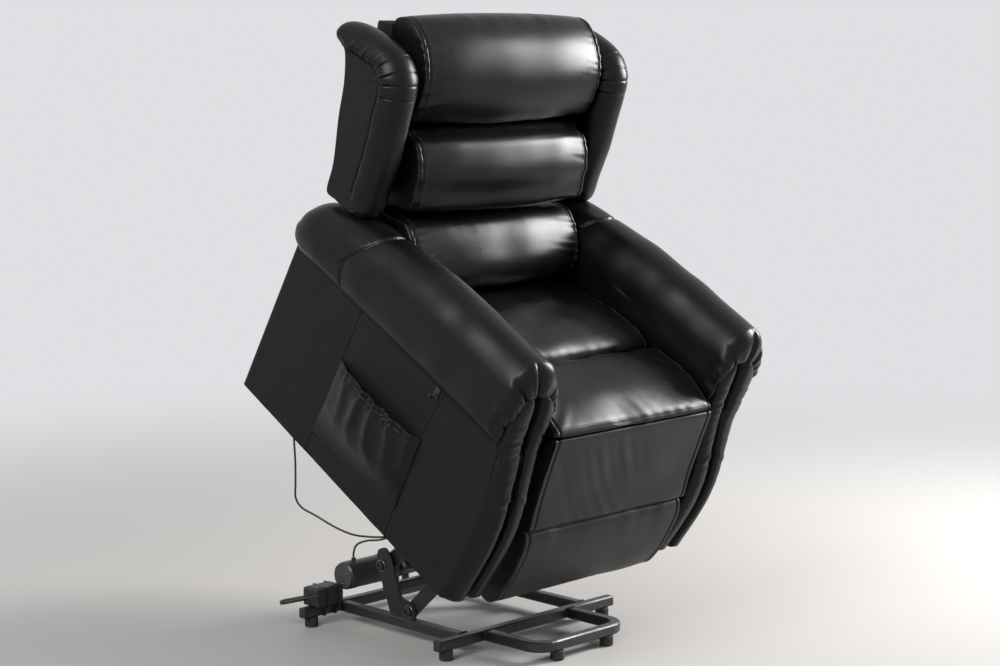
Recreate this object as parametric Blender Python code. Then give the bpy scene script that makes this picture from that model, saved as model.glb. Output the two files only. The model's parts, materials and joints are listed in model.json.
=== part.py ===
"""Lift recliner chair, modelled in the raised position that the photograph shows.

+Z up, metres, the floor at z = 0, the chair faces -Y and X = 0 is its middle plane.  The base is
drawn with y = 0 at the front face of its front cross tube; at the end everything moves forward
together, so that the origin lies on the floor under the middle of the whole chair.

The chair body is modelled in its own frame (y = 0 and z = 0 at the front lower corner of the side
panels, z up the seated chair) and is set on the base by the lift tilt.  Every moving piece hangs
from an empty that stands on its joint's axis.
"""

import math

import bmesh
import bpy
from mathutils import Matrix, Vector
from mathutils.geometry import delaunay_2d_cdt

FIT = 0.0003  # gap between faces that touch
RUN = 0.0005  # running gap of a pivot or a slide

# --- base frame -------------------------------------------------------------------------------
TUBE = 0.025  # square tube
TUBE_EDGE = 0.003  # corner radius of the tube
FOOT_HEIGHT = 0.024
FOOT_DIAMETER = 0.033
FOOT_INSET = 0.028  # foot centre from the end of its cross tube
FRONT_TUBE_LENGTH = 0.593
REAR_TUBE_LENGTH = 0.648
RAIL_SPACING = 0.404  # centre to centre
RAIL_LENGTH = 0.419
LOOP_WIDTH = 0.308
LOOP_REACH = 0.180
LOOP_BEND = 0.055  # outer radius of the loop's bends
LOOP_FOOT_SPACING = 0.170

MIDDLE_Y = 0.0823  # middle of the raised chair's length, behind the front cross tube's front face

TUBE_TOP = FOOT_HEIGHT + TUBE
REAR_TUBE_Y = TUBE + RAIL_LENGTH
REAR_TUBE_MID = REAR_TUBE_Y + TUBE / 2
RAIL_X = RAIL_SPACING / 2

# --- lift linkage -----------------------------------------------------------------------------
PLATE = 0.005  # thickness of every link and bracket plate
PLATE_GAP = 0.001  # between neighbouring plates
PIVOT = 0.005  # radius of a shoulder rivet
RIVET_HEAD = 0.010
REAR_PIVOT = Vector((0.0, 0.295, 0.164))  # upper pivot on the base bracket
FRONT_PIVOT = Vector((0.0, 0.199, TUBE_TOP + 0.019))  # lower pivot on the base bracket
REAR_LINK_LENGTH = 0.3593
FRONT_LINK_LENGTH = 0.3266
REAR_LINK_RISE = math.radians(32.7)  # above the horizontal, pointing forward
FRONT_LINK_RISE = math.radians(42.6)
LINK_WIDTH = 0.036
OPEN_PIVOT_PLAY = 0.0072  # room round the rivet of the pivot where the linkage is opened
TORQUE_TUBE_DIAMETER = 0.024
TORQUE_TUBE_SEAT = 0.50  # where along the rear links the torque tube is welded
LIFT_TILT = math.radians(30.5)

BRACKET_OUT = RAIL_X + TUBE / 2 - 0.0025  # outer face of the base bracket


def plane(index):
    """Outer and inner |x| of the linkage plate in the given layer, counted inward."""
    outer = BRACKET_OUT - index * (PLATE + PLATE_GAP)
    return outer, outer - PLATE


BRACKET_LAYER, FRONT_LINK_LAYER, REAR_LINK_LAYER, CARRIAGE_LAYER = range(4)
FOOT_UPPER_LAYER, FOOT_LOWER_LAYER, FOOT_LUG_LAYER = range(4, 7)

# --- chair body, in the body frame ------------------------------------------------------------
PANEL_SPAN = 0.792  # over the side panels
ARM_WIDTH = 0.110
PANEL_DEPTH = 0.800
PANEL_HEIGHT = 0.4104
ARM_FRONT = 0.025  # where the arm frame stops and the front facing starts
SKIRT_BOARD = 0.022  # outer board, which alone reaches the lower edge
ARM_FRAME_LIFT = 0.075  # underside of the arm frame above that edge
ROLL_OVERHANG = 0.040
ROLL_INSET = 0.0105
ROLL_HEIGHT = 0.204
ROLL_FRONT = -0.020
ROLL_REAR = 0.812
DECK_BOTTOM = 0.290
DECK_THICKNESS = 0.045
DECK_FRONT = 0.046
DECK_REAR = 0.660
REAR_PANEL_BOARD = 0.022
REAR_PANEL_HEIGHT = 0.395
SEAT_WIDTH = 0.534
SEAT_DEPTH = 0.628
SEAT_CROWN = 0.137  # deck to the highest point of the seat
CARRIAGE_FRONT = 0.078
CARRIAGE_REAR = 0.500
RECLINE_PIVOT = Vector((0.0, 0.745, PANEL_HEIGHT - 0.0104))  # held inside the arm frames
FOOTREST_PIVOT = Vector((0.0, 0.120, 0.262))
FOOTREST_ELBOW = Vector((0.0, 0.060, 0.055))
FOOTREST_LUG = Vector((0.0, 0.045, 0.270))
FOOT_LINK_WIDTH = 0.024
FOOT_BOARD = 0.015
FOOT_BOARD_FRONT = 0.0103
FOOT_PAD_WIDTH = 0.529
CLEVIS_PIN = Vector((0.0, 0.180, 0.245))  # where the actuator's rod meets the body
CLEVIS_EAR = Vector((0.0, 0.0295, 0.0250))  # from that pin to the middle of its cross tube

PANEL_OUT = PANEL_SPAN / 2
ARM_IN = PANEL_OUT - ARM_WIDTH

# --- back, along the reclined shell: s up the shell, n forward of its rear face -----------------
BACK_LEAN = math.radians(18.8)
BACK_FOOT = Vector((0.0, 0.722, 0.400))
SHELL_THICKNESS = 0.047
SHELL_HEIGHT = 0.585
SHELL_WIDTHS = (0.524, 0.7114, 0.600)  # between the arms, between the wings, under the wing rolls
SHELL_STEPS = (0.168, 0.430)
PILLOW_WIDTH = 0.531
WING_THICKNESS = 0.044
WING_ROLL = 0.0475
WING_OUT = 0.400

# --- lift actuator ----------------------------------------------------------------------------
ACTUATOR_PIVOT = Vector((0.0, REAR_TUBE_MID, TUBE_TOP + 0.037))
TRUNNION = 0.006
GEARBOX_WIDTH = 0.070
GEARBOX_TAIL = 0.028  # width of the lug that the clevis holds
MOTOR_DIAMETER = 0.068
MOTOR_END = -0.200
MOTOR_AHEAD = 0.0207
MOTOR_ABOVE = 0.013
GLAND_X = -0.165  # where the control cord enters the motor
GLAND_RISE = 0.007
SPINDLE_START = 0.060
SPINDLE_END = 0.450
SPINDLE_DIAMETER = 0.036
ROD_DIAMETER = 0.022
ROD_START = 0.236
SLOT_WIDTH = 0.0196
SLOT_LENGTH = 0.032
SLOT_OFFSET = 0.008  # middle of the slot beyond the pin when the chair is raised
SLOT_RISE = 0.0039  # and above the rod's own line
TIE_TUBE_Y = 0.285
TIE_TUBE_Z = 0.108
CARRIAGE_PIN = 0.005

# --- control parts ----------------------------------------------------------------------------
POWER_BOX = Vector((0.085, 0.054, 0.045))
POWER_BOX_X = -0.2575
STRAP = 0.0014
STRAP_WIDTH = 0.0048
STRAP_SHARES = (0.20, 0.74)  # places of the two ties between the rear foot and the box's inner end
POCKET_FRONT, POCKET_REAR = 0.232, 0.536
POCKET_BOTTOM, POCKET_TOP = 0.062, 0.268
POCKET_BULGE = 0.036
SHEET = 0.004
HANDSET = Vector((0.018, 0.048, 0.150))
HANDSET_CENTRE = (0.375, 0.172)
BUTTON_DIAMETER = 0.014
BUTTON_TRAVEL = 0.0015
BUTTON_RISE = 0.0015
HOOK_PLACE = (0.245, PANEL_HEIGHT - 0.0184)  # just under the arm roll
CORD_DIAMETER = 0.005
HANK_CABLE = 0.0034
HANK_TURNS = 3.5
HANK_REACH = 0.027  # half the length of the innermost loop


# =============================================================================================
# Helpers
# =============================================================================================
def clear_scene():
    for obj in list(bpy.data.objects):
        bpy.data.objects.remove(obj, do_unlink=True)


def material(name, colour, roughness, metallic=0.0):
    """A Principled material, made once per name."""
    found = bpy.data.materials.get(name)
    if found:
        return found
    made = bpy.data.materials.new(name)
    made.use_nodes = True
    shader = made.node_tree.nodes["Principled BSDF"]
    shader.inputs["Base Color"].default_value = (*colour, 1.0)
    shader.inputs["Roughness"].default_value = roughness
    shader.inputs["Metallic"].default_value = metallic
    return made


def vinyl():
    return material("black_vinyl", (0.010, 0.010, 0.011), 0.36)


def panel_vinyl():
    return material("side_vinyl", (0.016, 0.017, 0.018), 0.55)


def frame_paint():
    return material("black_powder_coat", (0.014, 0.014, 0.016), 0.42)


def mechanism_steel():
    return material("dark_mechanism_steel", (0.030, 0.031, 0.033), 0.40, 0.7)


def black_plastic():
    return material("black_plastic", (0.012, 0.012, 0.013), 0.45)


def rubber():
    return material("black_rubber", (0.010, 0.010, 0.010), 0.75)


def chromed():
    return material("bright_rod", (0.62, 0.62, 0.63), 0.16, 1.0)


def timber():
    return material("plywood", (0.42, 0.30, 0.18), 0.70)


class Axis:
    """An empty on a joint's axis; pieces are built in the frame's own coordinates and hang from it."""

    def __init__(self, name, pivot, parent=None, frame=Matrix.Identity(4)):
        self.pivot = pivot
        self.frame = frame
        self.empty = bpy.data.objects.new(name, None)
        self.empty.empty_display_size = 0.05
        bpy.context.scene.collection.objects.link(self.empty)
        world = frame @ Matrix.Translation(pivot)
        if parent:
            self.empty.parent = parent.empty
            self.empty.matrix_parent_inverse = parent.world().inverted()
        self.empty.matrix_basis = world

    def world(self):
        return self.frame @ Matrix.Translation(self.pivot)

    def carry(self, obj):
        obj.parent = self.empty
        obj.matrix_parent_inverse = Matrix.Translation(-self.pivot)
        return obj


def body_matrix():
    """Where the raised body frame stands: its rear lower link pivot is on the rear link's end."""
    return Matrix.Translation((0.0, -0.1064, 0.1914)) @ Matrix.Rotation(LIFT_TILT, 4, "X")


def link_end(pivot, length, rise):
    return pivot + Vector((0.0, -length * math.cos(rise), length * math.sin(rise)))


def solid(name, verts, faces, mat, axis=None, smooth=35.0):
    """A closed mesh object with its faces turned outward."""
    mesh = bpy.data.meshes.new(name)
    bm = bmesh.new()
    points = [bm.verts.new(v) for v in verts]
    for face in faces:
        bm.faces.new([points[i] for i in face])
    bmesh.ops.recalc_face_normals(bm, faces=bm.faces)
    if bm.calc_volume(signed=True) < 0:
        bmesh.ops.reverse_faces(bm, faces=bm.faces)
    bm.to_mesh(mesh)
    bm.free()
    mesh.materials.append(mat)
    mesh.shade_smooth()
    mesh.set_sharp_from_angle(angle=math.radians(smooth))
    obj = bpy.data.objects.new(name, mesh)
    bpy.context.scene.collection.objects.link(obj)
    if axis:
        axis.carry(obj)
    return obj


def ring_solid(name, rings, mat, axis=None, closed=False, smooth=35.0):
    """Loft equal rings of points; the two ends are closed by a fan, or the loft closes on itself."""
    count = len(rings[0])
    verts = [p for ring in rings for p in ring]
    faces = []
    steps = len(rings) if closed else len(rings) - 1
    for i in range(steps):
        a = i * count
        b = ((i + 1) % len(rings)) * count
        for j in range(count):
            k = (j + 1) % count
            faces.append((a + j, a + k, b + k, b + j))
    if not closed:
        for start, ring in ((0, rings[0]), ((len(rings) - 1) * count, rings[-1])):
            middle = len(verts)
            verts.append(sum((Vector(p) for p in ring), Vector()) / count)
            faces.extend((start + j, start + (j + 1) % count, middle) for j in range(count))
    return solid(name, verts, faces, mat, axis, smooth)


def prism(name, outline, x0, x1, mat, axis=None, holes=()):
    """A plate cut from an outline in (y, z) with holes, between two planes of x."""
    loops = [list(outline)] + [list(h) for h in holes]
    points = [Vector(p) for loop in loops for p in loop]
    edges = []
    start = 0
    for loop in loops:
        size = len(loop)
        edges += [(start + i, start + (i + 1) % size) for i in range(size)]
        start += size
    flat, _, triangles, *_ = delaunay_2d_cdt(points, edges, [], 1, 1e-7)
    kept = [t for t in triangles if not in_any(sum((flat[i] for i in t), Vector((0, 0))) / 3, holes)]
    size = len(flat)
    verts = [(x, p[0], p[1]) for x in (x0, x1) for p in flat]
    faces = [tuple(t) for t in kept] + [tuple(i + size for i in reversed(t)) for t in kept]
    rim = {}
    for t in kept:
        for a, b in zip(t, (*t[1:], t[0])):
            if (b, a) in rim:
                del rim[(b, a)]
            else:
                rim[(a, b)] = True
    faces += [(b, a, a + size, b + size) for a, b in rim]
    return solid(name, verts, faces, mat, axis, 30.0)


def in_any(point, loops):
    return any(inside(point, loop) for loop in loops)


def inside(point, loop):
    hit = False
    for (ax, ay), (bx, by) in zip(loop, (*loop[1:], loop[0])):
        if (ay > point[1]) != (by > point[1]):
            if point[0] < (bx - ax) * (point[1] - ay) / (by - ay) + ax:
                hit = not hit
    return hit


def circle(centre, radius, count=16, start=0.0):
    turn = 2 * math.pi / count
    return [
        (centre[0] + radius * math.cos(start + i * turn), centre[1] + radius * math.sin(start + i * turn))
        for i in range(count)
    ]


def stadium(a, b, radius, count=8):
    """The outline of a link with round ends at a and b."""
    heading = math.atan2(b[1] - a[1], b[0] - a[0])
    outline = []
    for centre, base in ((b, heading - math.pi / 2), (a, heading + math.pi / 2)):
        for i in range(count + 1):
            angle = base + math.pi * i / count
            outline.append((centre[0] + radius * math.cos(angle), centre[1] + radius * math.sin(angle)))
    return outline


def rounded(corners, radius, count=3):
    """A polygon with its corners rounded; the radius is held to what the corner's sides allow."""
    outline = []
    for before, corner, after in zip((corners[-1], *corners[:-1]), corners, (*corners[1:], corners[0])):
        here = Vector(corner)
        back = Vector(before) - here
        ahead = Vector(after) - here
        reach = min(radius, 0.45 * back.length, 0.45 * ahead.length)
        start = here + back.normalized() * reach
        end = here + ahead.normalized() * reach
        for i in range(count + 1):
            t = i / count
            outline.append(tuple(start * (1 - t) ** 2 + here * 2 * t * (1 - t) + end * t * t))
    return outline


def smooth_loop(points, count):
    """A closed curve through the points, evenly stepped along each span."""
    total = len(points)
    spans = [(Vector(points[(i + 1) % total]) - Vector(points[i])).length for i in range(total)]
    length = sum(spans)
    out = []
    for k in range(count):
        target = length * k / count
        i = 0
        while target > spans[i] and i < total - 1:
            target -= spans[i]
            i += 1
        t = target / spans[i]
        p0, p1, p2, p3 = (Vector(points[(i + j - 1) % total]) for j in range(4))
        out.append(
            0.5
            * (
                2 * p1
                + (p2 - p0) * t
                + (2 * p0 - 5 * p1 + 4 * p2 - p3) * t * t
                + (3 * p1 - p0 - 3 * p2 + p3) * t ** 3
            )
        )
    return out


def smooth_path(points, step):
    """An open curve through the points with a vertex about every step."""
    points = [Vector(p) for p in points]
    padded = [2 * points[0] - points[1], *points, 2 * points[-1] - points[-2]]
    out = [points[0]]
    for i in range(1, len(padded) - 2):
        p0, p1, p2, p3 = padded[i - 1 : i + 3]
        pieces = max(1, round((p2 - p1).length / step))
        for k in range(1, pieces + 1):
            t = k / pieces
            out.append(
                0.5
                * (
                    2 * p1
                    + (p2 - p0) * t
                    + (2 * p0 - 5 * p1 + 4 * p2 - p3) * t * t
                    + (3 * p1 - p0 - 3 * p2 + p3) * t ** 3
                )
            )
    return out


def box(name, low, high, mat, axis=None, edge=0.0, segments=1):
    xs, ys, zs = zip(low, high)
    verts = [(x, y, z) for x in xs for y in ys for z in zs]
    faces = [(0, 1, 3, 2), (4, 6, 7, 5), (0, 4, 5, 1), (2, 3, 7, 6), (0, 2, 6, 4), (1, 5, 7, 3)]
    obj = solid(name, verts, faces, mat, axis)
    if edge:
        bevel = obj.modifiers.new("edge", "BEVEL")
        bevel.width = edge
        bevel.segments = segments
        bevel.limit_method = "ANGLE"
    return obj


def turned(name, profile, origin, direction, mat, axis=None, segments=20):
    """Turn a profile of (radius, distance along the direction); a radius of 0 closes on the axis."""
    direction = Vector(direction).normalized()
    side = direction.orthogonal().normalized()
    other = direction.cross(side)
    verts = []
    rows = []
    for radius, along in profile:
        centre = Vector(origin) + direction * along
        if radius == 0.0:
            rows.append([len(verts)])
            verts.append(centre)
            continue
        rows.append(list(range(len(verts), len(verts) + segments)))
        for i in range(segments):
            angle = 2 * math.pi * i / segments
            verts.append(centre + (side * math.cos(angle) + other * math.sin(angle)) * radius)
    faces = []
    for a, b in zip(rows, rows[1:]):
        for i in range(segments):
            k = (i + 1) % segments
            if len(a) == 1:
                faces.append((a[0], b[k], b[i]))
            elif len(b) == 1:
                faces.append((a[i], a[k], b[0]))
            else:
                faces.append((a[i], a[k], b[k], b[i]))
    return solid(name, verts, faces, mat, axis)


def rod_profile(radius, start, end, chamfer=0.0):
    if not chamfer:
        return [(0.0, start), (radius, start), (radius, end), (0.0, end)]
    return [
        (0.0, start),
        (radius - chamfer, start),
        (radius, start + chamfer),
        (radius, end - chamfer),
        (radius - chamfer, end),
        (0.0, end),
    ]


def combine(target, tools, operation="UNION"):
    """Join the tools to the target, or cut them from it, and keep only the result."""
    for tool in tools:
        step = target.modifiers.new(operation.lower(), "BOOLEAN")
        step.operation = operation
        step.solver = "EXACT"
        step.object = tool
    bpy.context.view_layer.update()
    graph = bpy.context.evaluated_depsgraph_get()
    mesh = bpy.data.meshes.new_from_object(target.evaluated_get(graph))
    mesh.name = target.name
    mesh.shade_smooth()
    mesh.set_sharp_from_angle(angle=math.radians(30.0))
    target.modifiers.clear()
    target.data = mesh
    for tool in tools:
        bpy.data.objects.remove(tool, do_unlink=True)
    return target


def sides():
    return (("left", -1), ("right", 1))


# =============================================================================================
# Base frame
# =============================================================================================
def square_section(half, edge):
    """Eight points of a square tube's section with its corners cut."""
    near = half - edge
    return [(half, near), (near, half), (-near, half), (-half, near),
            (-half, -near), (-near, -half), (near, -half), (half, -near)]


def straight_tube(name, start, end, size=TUBE):
    """A square tube between two points along X or Y."""
    start, end = Vector(start), Vector(end)
    along = (end - start).normalized()
    across = along.cross(Vector((0, 0, 1)))
    rings = []
    for point in (start, end):
        rings.append([point + across * a + Vector((0, 0, b)) for a, b in square_section(size / 2, TUBE_EDGE)])
    return ring_solid(name, rings, frame_paint())


def cross_tubes():
    mid = FOOT_HEIGHT + TUBE / 2
    for name, length, y in (
        ("front_cross_tube", FRONT_TUBE_LENGTH, TUBE / 2),
        ("rear_cross_tube", REAR_TUBE_LENGTH, REAR_TUBE_MID),
    ):
        straight_tube(name, (-length / 2, y, mid), (length / 2, y, mid))
    for side, sign in sides():
        straight_tube(
            f"side_rail_{side}",
            (sign * RAIL_X, TUBE + FIT, mid),
            (sign * RAIL_X, REAR_TUBE_Y - FIT, mid),
        )


def front_loop():
    """The U-shaped front bar that keeps the raised chair from tipping forward."""
    mid = FOOT_HEIGHT + TUBE / 2
    bend = LOOP_BEND - TUBE / 2
    half = LOOP_WIDTH / 2 - TUBE / 2
    front = -LOOP_REACH + TUBE / 2
    steps = 6
    path = [(Vector((-half, -FIT, mid)), Vector((1, 0, 0)))]
    for side, first, last in ((-1, math.pi, 1.5 * math.pi), (1, 1.5 * math.pi, 2 * math.pi)):
        centre = Vector((side * (half - bend), front + bend, mid))
        for i in range(steps + 1):
            angle = first + (last - first) * i / steps
            outward = Vector((math.cos(angle), math.sin(angle), 0))
            path.append((centre + outward * bend, -outward))
    path.append((Vector((half, -FIT, mid)), Vector((-1, 0, 0))))
    rings = [
        [point + inward * a + Vector((0, 0, b)) for a, b in square_section(TUBE / 2, TUBE_EDGE)]
        for point, inward in path
    ]
    ring_solid("front_loop", rings, frame_paint())


def feet():
    """Six turned rubber feet: two under each cross tube and two under the loop's front bar."""
    loop_y = -LOOP_REACH + TUBE / 2
    places = {}
    for side, sign in sides():
        places[f"foot_front_{side}"] = (sign * (FRONT_TUBE_LENGTH / 2 - FOOT_INSET), TUBE / 2)
        places[f"foot_rear_{side}"] = (sign * (REAR_TUBE_LENGTH / 2 - FOOT_INSET), REAR_TUBE_MID)
        places[f"foot_loop_{side}"] = (sign * LOOP_FOOT_SPACING / 2, loop_y)
    radius = FOOT_DIAMETER / 2
    profile = rod_profile(radius, 0.0, FOOT_HEIGHT - FIT, 0.002)
    for name, (x, y) in places.items():
        turned(name, profile, (x, y, 0.0), (0, 0, 1), rubber(), segments=16)


def base_brackets():
    """Upright plates welded on the side rails; each carries the two fixed lift pivots as rivets."""
    foot = TUBE_TOP + FIT
    front = FRONT_PIVOT.y - 0.022
    outline = rounded(
        [
            (front, foot),
            (front + 0.086, foot),
            (REAR_PIVOT.y - 0.008, 0.110),
            (REAR_PIVOT.y + 0.017, REAR_PIVOT.z),
            (REAR_PIVOT.y + 0.013, REAR_PIVOT.z + 0.038),
            (REAR_PIVOT.y - 0.014, REAR_PIVOT.z + 0.048),
            (REAR_PIVOT.y - 0.034, REAR_PIVOT.z + 0.026),
            (FRONT_PIVOT.y + 0.030, FRONT_PIVOT.z + 0.032),
            (FRONT_PIVOT.y - 0.006, FRONT_PIVOT.z + 0.022),
            (front, FRONT_PIVOT.z + 0.010),
        ],
        0.010,
    )
    outer, inner = plane(BRACKET_LAYER)
    rear_reach = plane(REAR_LINK_LAYER)[1]
    front_reach = plane(FRONT_LINK_LAYER)[1]
    for side, sign in sides():
        plate = prism(f"base_bracket_{side}", outline, sign * outer, sign * inner, mechanism_steel())
        tools = [
            rivet(REAR_PIVOT, sign * outer, sign * rear_reach),
            rivet(FRONT_PIVOT, sign * outer, sign * front_reach),
        ]
        combine(plate, tools)


def rivet(pivot, outer, inner, axis=None):
    """A shoulder rivet with a domed head outside; its shank runs inward along X."""
    sign = math.copysign(1.0, outer - inner)
    head = 0.003
    profile = [
        (0.0, -head),
        (RIVET_HEAD * 0.6, -head),
        (RIVET_HEAD, -head * 0.3),
        (RIVET_HEAD, PLATE / 2),
        (PIVOT, PLATE / 2),
        (PIVOT, abs(outer - inner)),
        (0.0, abs(outer - inner)),
    ]
    origin = Vector((outer, pivot.y, pivot.z))
    return turned("rivet", profile, origin, (-sign, 0, 0), mechanism_steel(), axis, 16)


def tie_tube():
    """Square tube that ties the two base brackets together under the actuator."""
    reach = plane(BRACKET_LAYER)[1] - FIT
    y, z = TIE_TUBE_Y, TIE_TUBE_Z
    straight_tube("bracket_tie_tube", (-reach, y, z), (reach, y, z), 0.022)


# =============================================================================================
# Lift links
# =============================================================================================
def lift_links(rear_axis, front_axis):
    rear_end = link_end(REAR_PIVOT, REAR_LINK_LENGTH, REAR_LINK_RISE)
    front_end = link_end(FRONT_PIVOT, FRONT_LINK_LENGTH, FRONT_LINK_RISE)
    half = LINK_WIDTH / 2
    bore = PIVOT + RUN
    for name, a, b, layer, axis, far_bore in (
        ("rear_lift_link", REAR_PIVOT, rear_end, REAR_LINK_LAYER, rear_axis, bore),
        ("front_lift_link", FRONT_PIVOT, front_end, FRONT_LINK_LAYER, front_axis, PIVOT + OPEN_PIVOT_PLAY),
    ):
        outline = stadium(a.yz, b.yz, half)
        holes = [circle(a.yz, bore), circle(b.yz, far_bore)]
        outer, inner = plane(layer)
        for side, sign in sides():
            prism(f"{name}_{side}", outline, sign * outer, sign * inner, mechanism_steel(), axis, holes)
    seat = REAR_PIVOT.lerp(rear_end, TORQUE_TUBE_SEAT)
    reach = plane(REAR_LINK_LAYER)[1] - FIT
    turned(
        "lift_torque_tube",
        rod_profile(TORQUE_TUBE_DIAMETER / 2, -reach, reach, 0.001),
        (0.0, seat.y, seat.z),
        (1, 0, 0),
        frame_paint(),
        rear_axis,
    )


# =============================================================================================
# Lift actuator
# =============================================================================================
def actuator_line():
    """Pivot on the base, unit direction to the body's clevis pin, and the distance."""
    far = body_matrix() @ CLEVIS_PIN
    span = far - ACTUATOR_PIVOT
    return ACTUATOR_PIVOT, span.normalized(), span.length


def actuator_clevis():
    """Two ears on a strap, welded on the rear cross tube."""
    ear_in = GEARBOX_TAIL / 2 + RUN
    ear_out = ear_in + PLATE
    foot = TUBE_TOP + FIT
    pivot = ACTUATOR_PIVOT
    strap = box(
        "actuator_clevis",
        (-ear_out, REAR_TUBE_Y + 0.001, foot),
        (ear_out, REAR_TUBE_Y + TUBE - 0.001, foot + 0.003),
        mechanism_steel(),
    )
    outline = rounded(
        [
            (REAR_TUBE_Y + 0.001, foot),
            (REAR_TUBE_Y + TUBE - 0.001, foot),
            (pivot.y + 0.0095, pivot.z + 0.0095),
            (pivot.y - 0.0095, pivot.z + 0.0095),
        ],
        0.004,
    )
    ears = [
        prism("ear", outline, sign * ear_in, sign * ear_out, mechanism_steel(), None,
              [circle(pivot.yz, TRUNNION + RUN)])
        for _, sign in sides()
    ]
    combine(strap, ears)


def oriented_box(name, origin, along, low, high, mat, axis, edge):
    """A box in (x, s, n): s runs along the direction and n square to it, upward."""
    up = Vector((1, 0, 0)).cross(along)
    if up.z < 0:
        up = -up
    obj = box(name, low, high, mat, None, edge)
    for vert in obj.data.vertices:
        x, s, n = vert.co
        vert.co = origin + Vector((x, 0, 0)) + along * s + up * n
    bm = bmesh.new()
    bm.from_mesh(obj.data)
    bmesh.ops.recalc_face_normals(bm, faces=bm.faces)
    bm.to_mesh(obj.data)
    bm.free()
    axis.carry(obj)
    return obj


def lift_actuator(body_axis, rod_axis):
    pivot, along, length = actuator_line()
    up = Vector((1, 0, 0)).cross(along)
    if up.z < 0:
        up = -up
    half = GEARBOX_WIDTH / 2
    gearbox = oriented_box(
        "actuator_gearbox", pivot, along, (-half, 0.0145, -0.019), (half, SPINDLE_START - FIT, 0.046),
        black_plastic(), body_axis, 0.006,
    )
    tail = GEARBOX_TAIL / 2
    lug = oriented_box(
        "lug", pivot, along, (-tail, -0.011, -0.011), (tail, 0.020, 0.011), black_plastic(), body_axis, 0.002
    )
    ear_out = tail + RUN + PLATE + 0.001
    trunnion = turned(
        "trunnion", rod_profile(TRUNNION, -ear_out, ear_out), pivot, (1, 0, 0), black_plastic(), body_axis, 16
    )
    combine(gearbox, [lug, trunnion])
    motor_at = pivot + along * MOTOR_AHEAD + up * MOTOR_ABOVE
    motor = turned(
        "lift_motor",
        rod_profile(MOTOR_DIAMETER / 2, 0.0, -half - FIT - MOTOR_END, 0.004),
        (MOTOR_END, motor_at.y, motor_at.z),
        (1, 0, 0),
        black_plastic(),
        body_axis,
        28,
    )
    gland = turned(
        "gland", rod_profile(0.006, 0.020, MOTOR_DIAMETER / 2 + GLAND_RISE, 0.001),
        (GLAND_X, motor_at.y, motor_at.z), (0, 0, 1), black_plastic(), body_axis, 16,
    )
    combine(motor, [gland])
    bore = ROD_DIAMETER / 2 + RUN
    outer = SPINDLE_DIAMETER / 2
    wall_end = ROD_START - 0.145
    turned(
        "spindle_tube",
        [(0.0, SPINDLE_START), (outer, SPINDLE_START), (outer, SPINDLE_END),
         (bore, SPINDLE_END), (bore, wall_end), (0.0, wall_end)],
        pivot,
        along,
        black_plastic(),
        body_axis,
    )
    # The rod's head has a slot, so the chair settles by its weight alone and can stop on an obstacle.
    slot_mid = length + SLOT_OFFSET
    rod = turned(
        "lift_rod",
        rod_profile(ROD_DIAMETER / 2, ROD_START, slot_mid - SLOT_LENGTH / 2 - 0.002, 0.001),
        pivot,
        along,
        chromed(),
        rod_axis,
    )

    def at(s):
        return (pivot + along * s + up * SLOT_RISE).yz

    reach = SLOT_LENGTH / 2 - SLOT_WIDTH / 2
    head = prism(
        "head",
        stadium(at(slot_mid - reach), at(slot_mid + reach), SLOT_WIDTH / 2 + 0.007),
        -0.007,
        0.007,
        chromed(),
        rod_axis,
        [stadium(at(slot_mid - reach), at(slot_mid + reach), SLOT_WIDTH / 2)],
    )
    combine(rod, [head])


# =============================================================================================
# Carriage: the steel under the seat
# =============================================================================================
def carriage_plates(axis, rear_joint, front_joint):
    """Plates screwed under the seat deck; the lift links and the footrest links pivot on them."""
    outer, inner = plane(CARRIAGE_LAYER)
    top = DECK_BOTTOM - FIT
    outline = rounded(
        [
            (CARRIAGE_FRONT, top),
            (CARRIAGE_FRONT, 0.235),
            (front_joint.y - 0.022, front_joint.z + 0.010),
            (front_joint.y - 0.016, front_joint.z - 0.016),
            (front_joint.y + 0.010, front_joint.z - 0.018),
            (rear_joint.y + 0.016, rear_joint.z - 0.016),
            (rear_joint.y + 0.026, rear_joint.z + 0.012),
            (rear_joint.y + 0.055, 0.215),
            (CARRIAGE_REAR, 0.258),
            (CARRIAGE_REAR, top),
        ],
        0.012,
    )
    for side, sign in sides():
        plate = prism(f"carriage_plate_{side}", outline, sign * outer, sign * inner, mechanism_steel(), axis)
        tools = [
            rivet(rear_joint, sign * inner, sign * plane(REAR_LINK_LAYER)[0], axis),
            rivet(front_joint, sign * inner, sign * plane(FRONT_LINK_LAYER)[0], axis),
            rivet(FOOTREST_PIVOT, sign * outer, sign * plane(FOOT_UPPER_LAYER)[1], axis),
        ]
        combine(plate, tools)


def lift_cross_tube(axis):
    """Tube between the carriage plates with two ears and the pin that the actuator pushes on."""
    reach = plane(CARRIAGE_LAYER)[1] - FIT
    radius = TORQUE_TUBE_DIAMETER / 2
    centre = CLEVIS_PIN + CLEVIS_EAR
    tube = turned(
        "lift_cross_tube", rod_profile(radius, -reach, reach, 0.001), centre, (1, 0, 0), frame_paint(), axis
    )
    ear_in = 0.012
    outline = stadium(CLEVIS_PIN.yz, centre.yz, 0.0145, 6)
    tools = [
        prism("ear", outline, sign * ear_in, sign * (ear_in + PLATE), mechanism_steel(), axis)
        for _, sign in sides()
    ]
    pin_end = ear_in + PLATE + 0.001
    tools.append(
        turned("pin", rod_profile(CARRIAGE_PIN, -pin_end, pin_end), CLEVIS_PIN, (1, 0, 0), mechanism_steel(),
               axis, 16)
    )
    combine(tube, tools)


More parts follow.
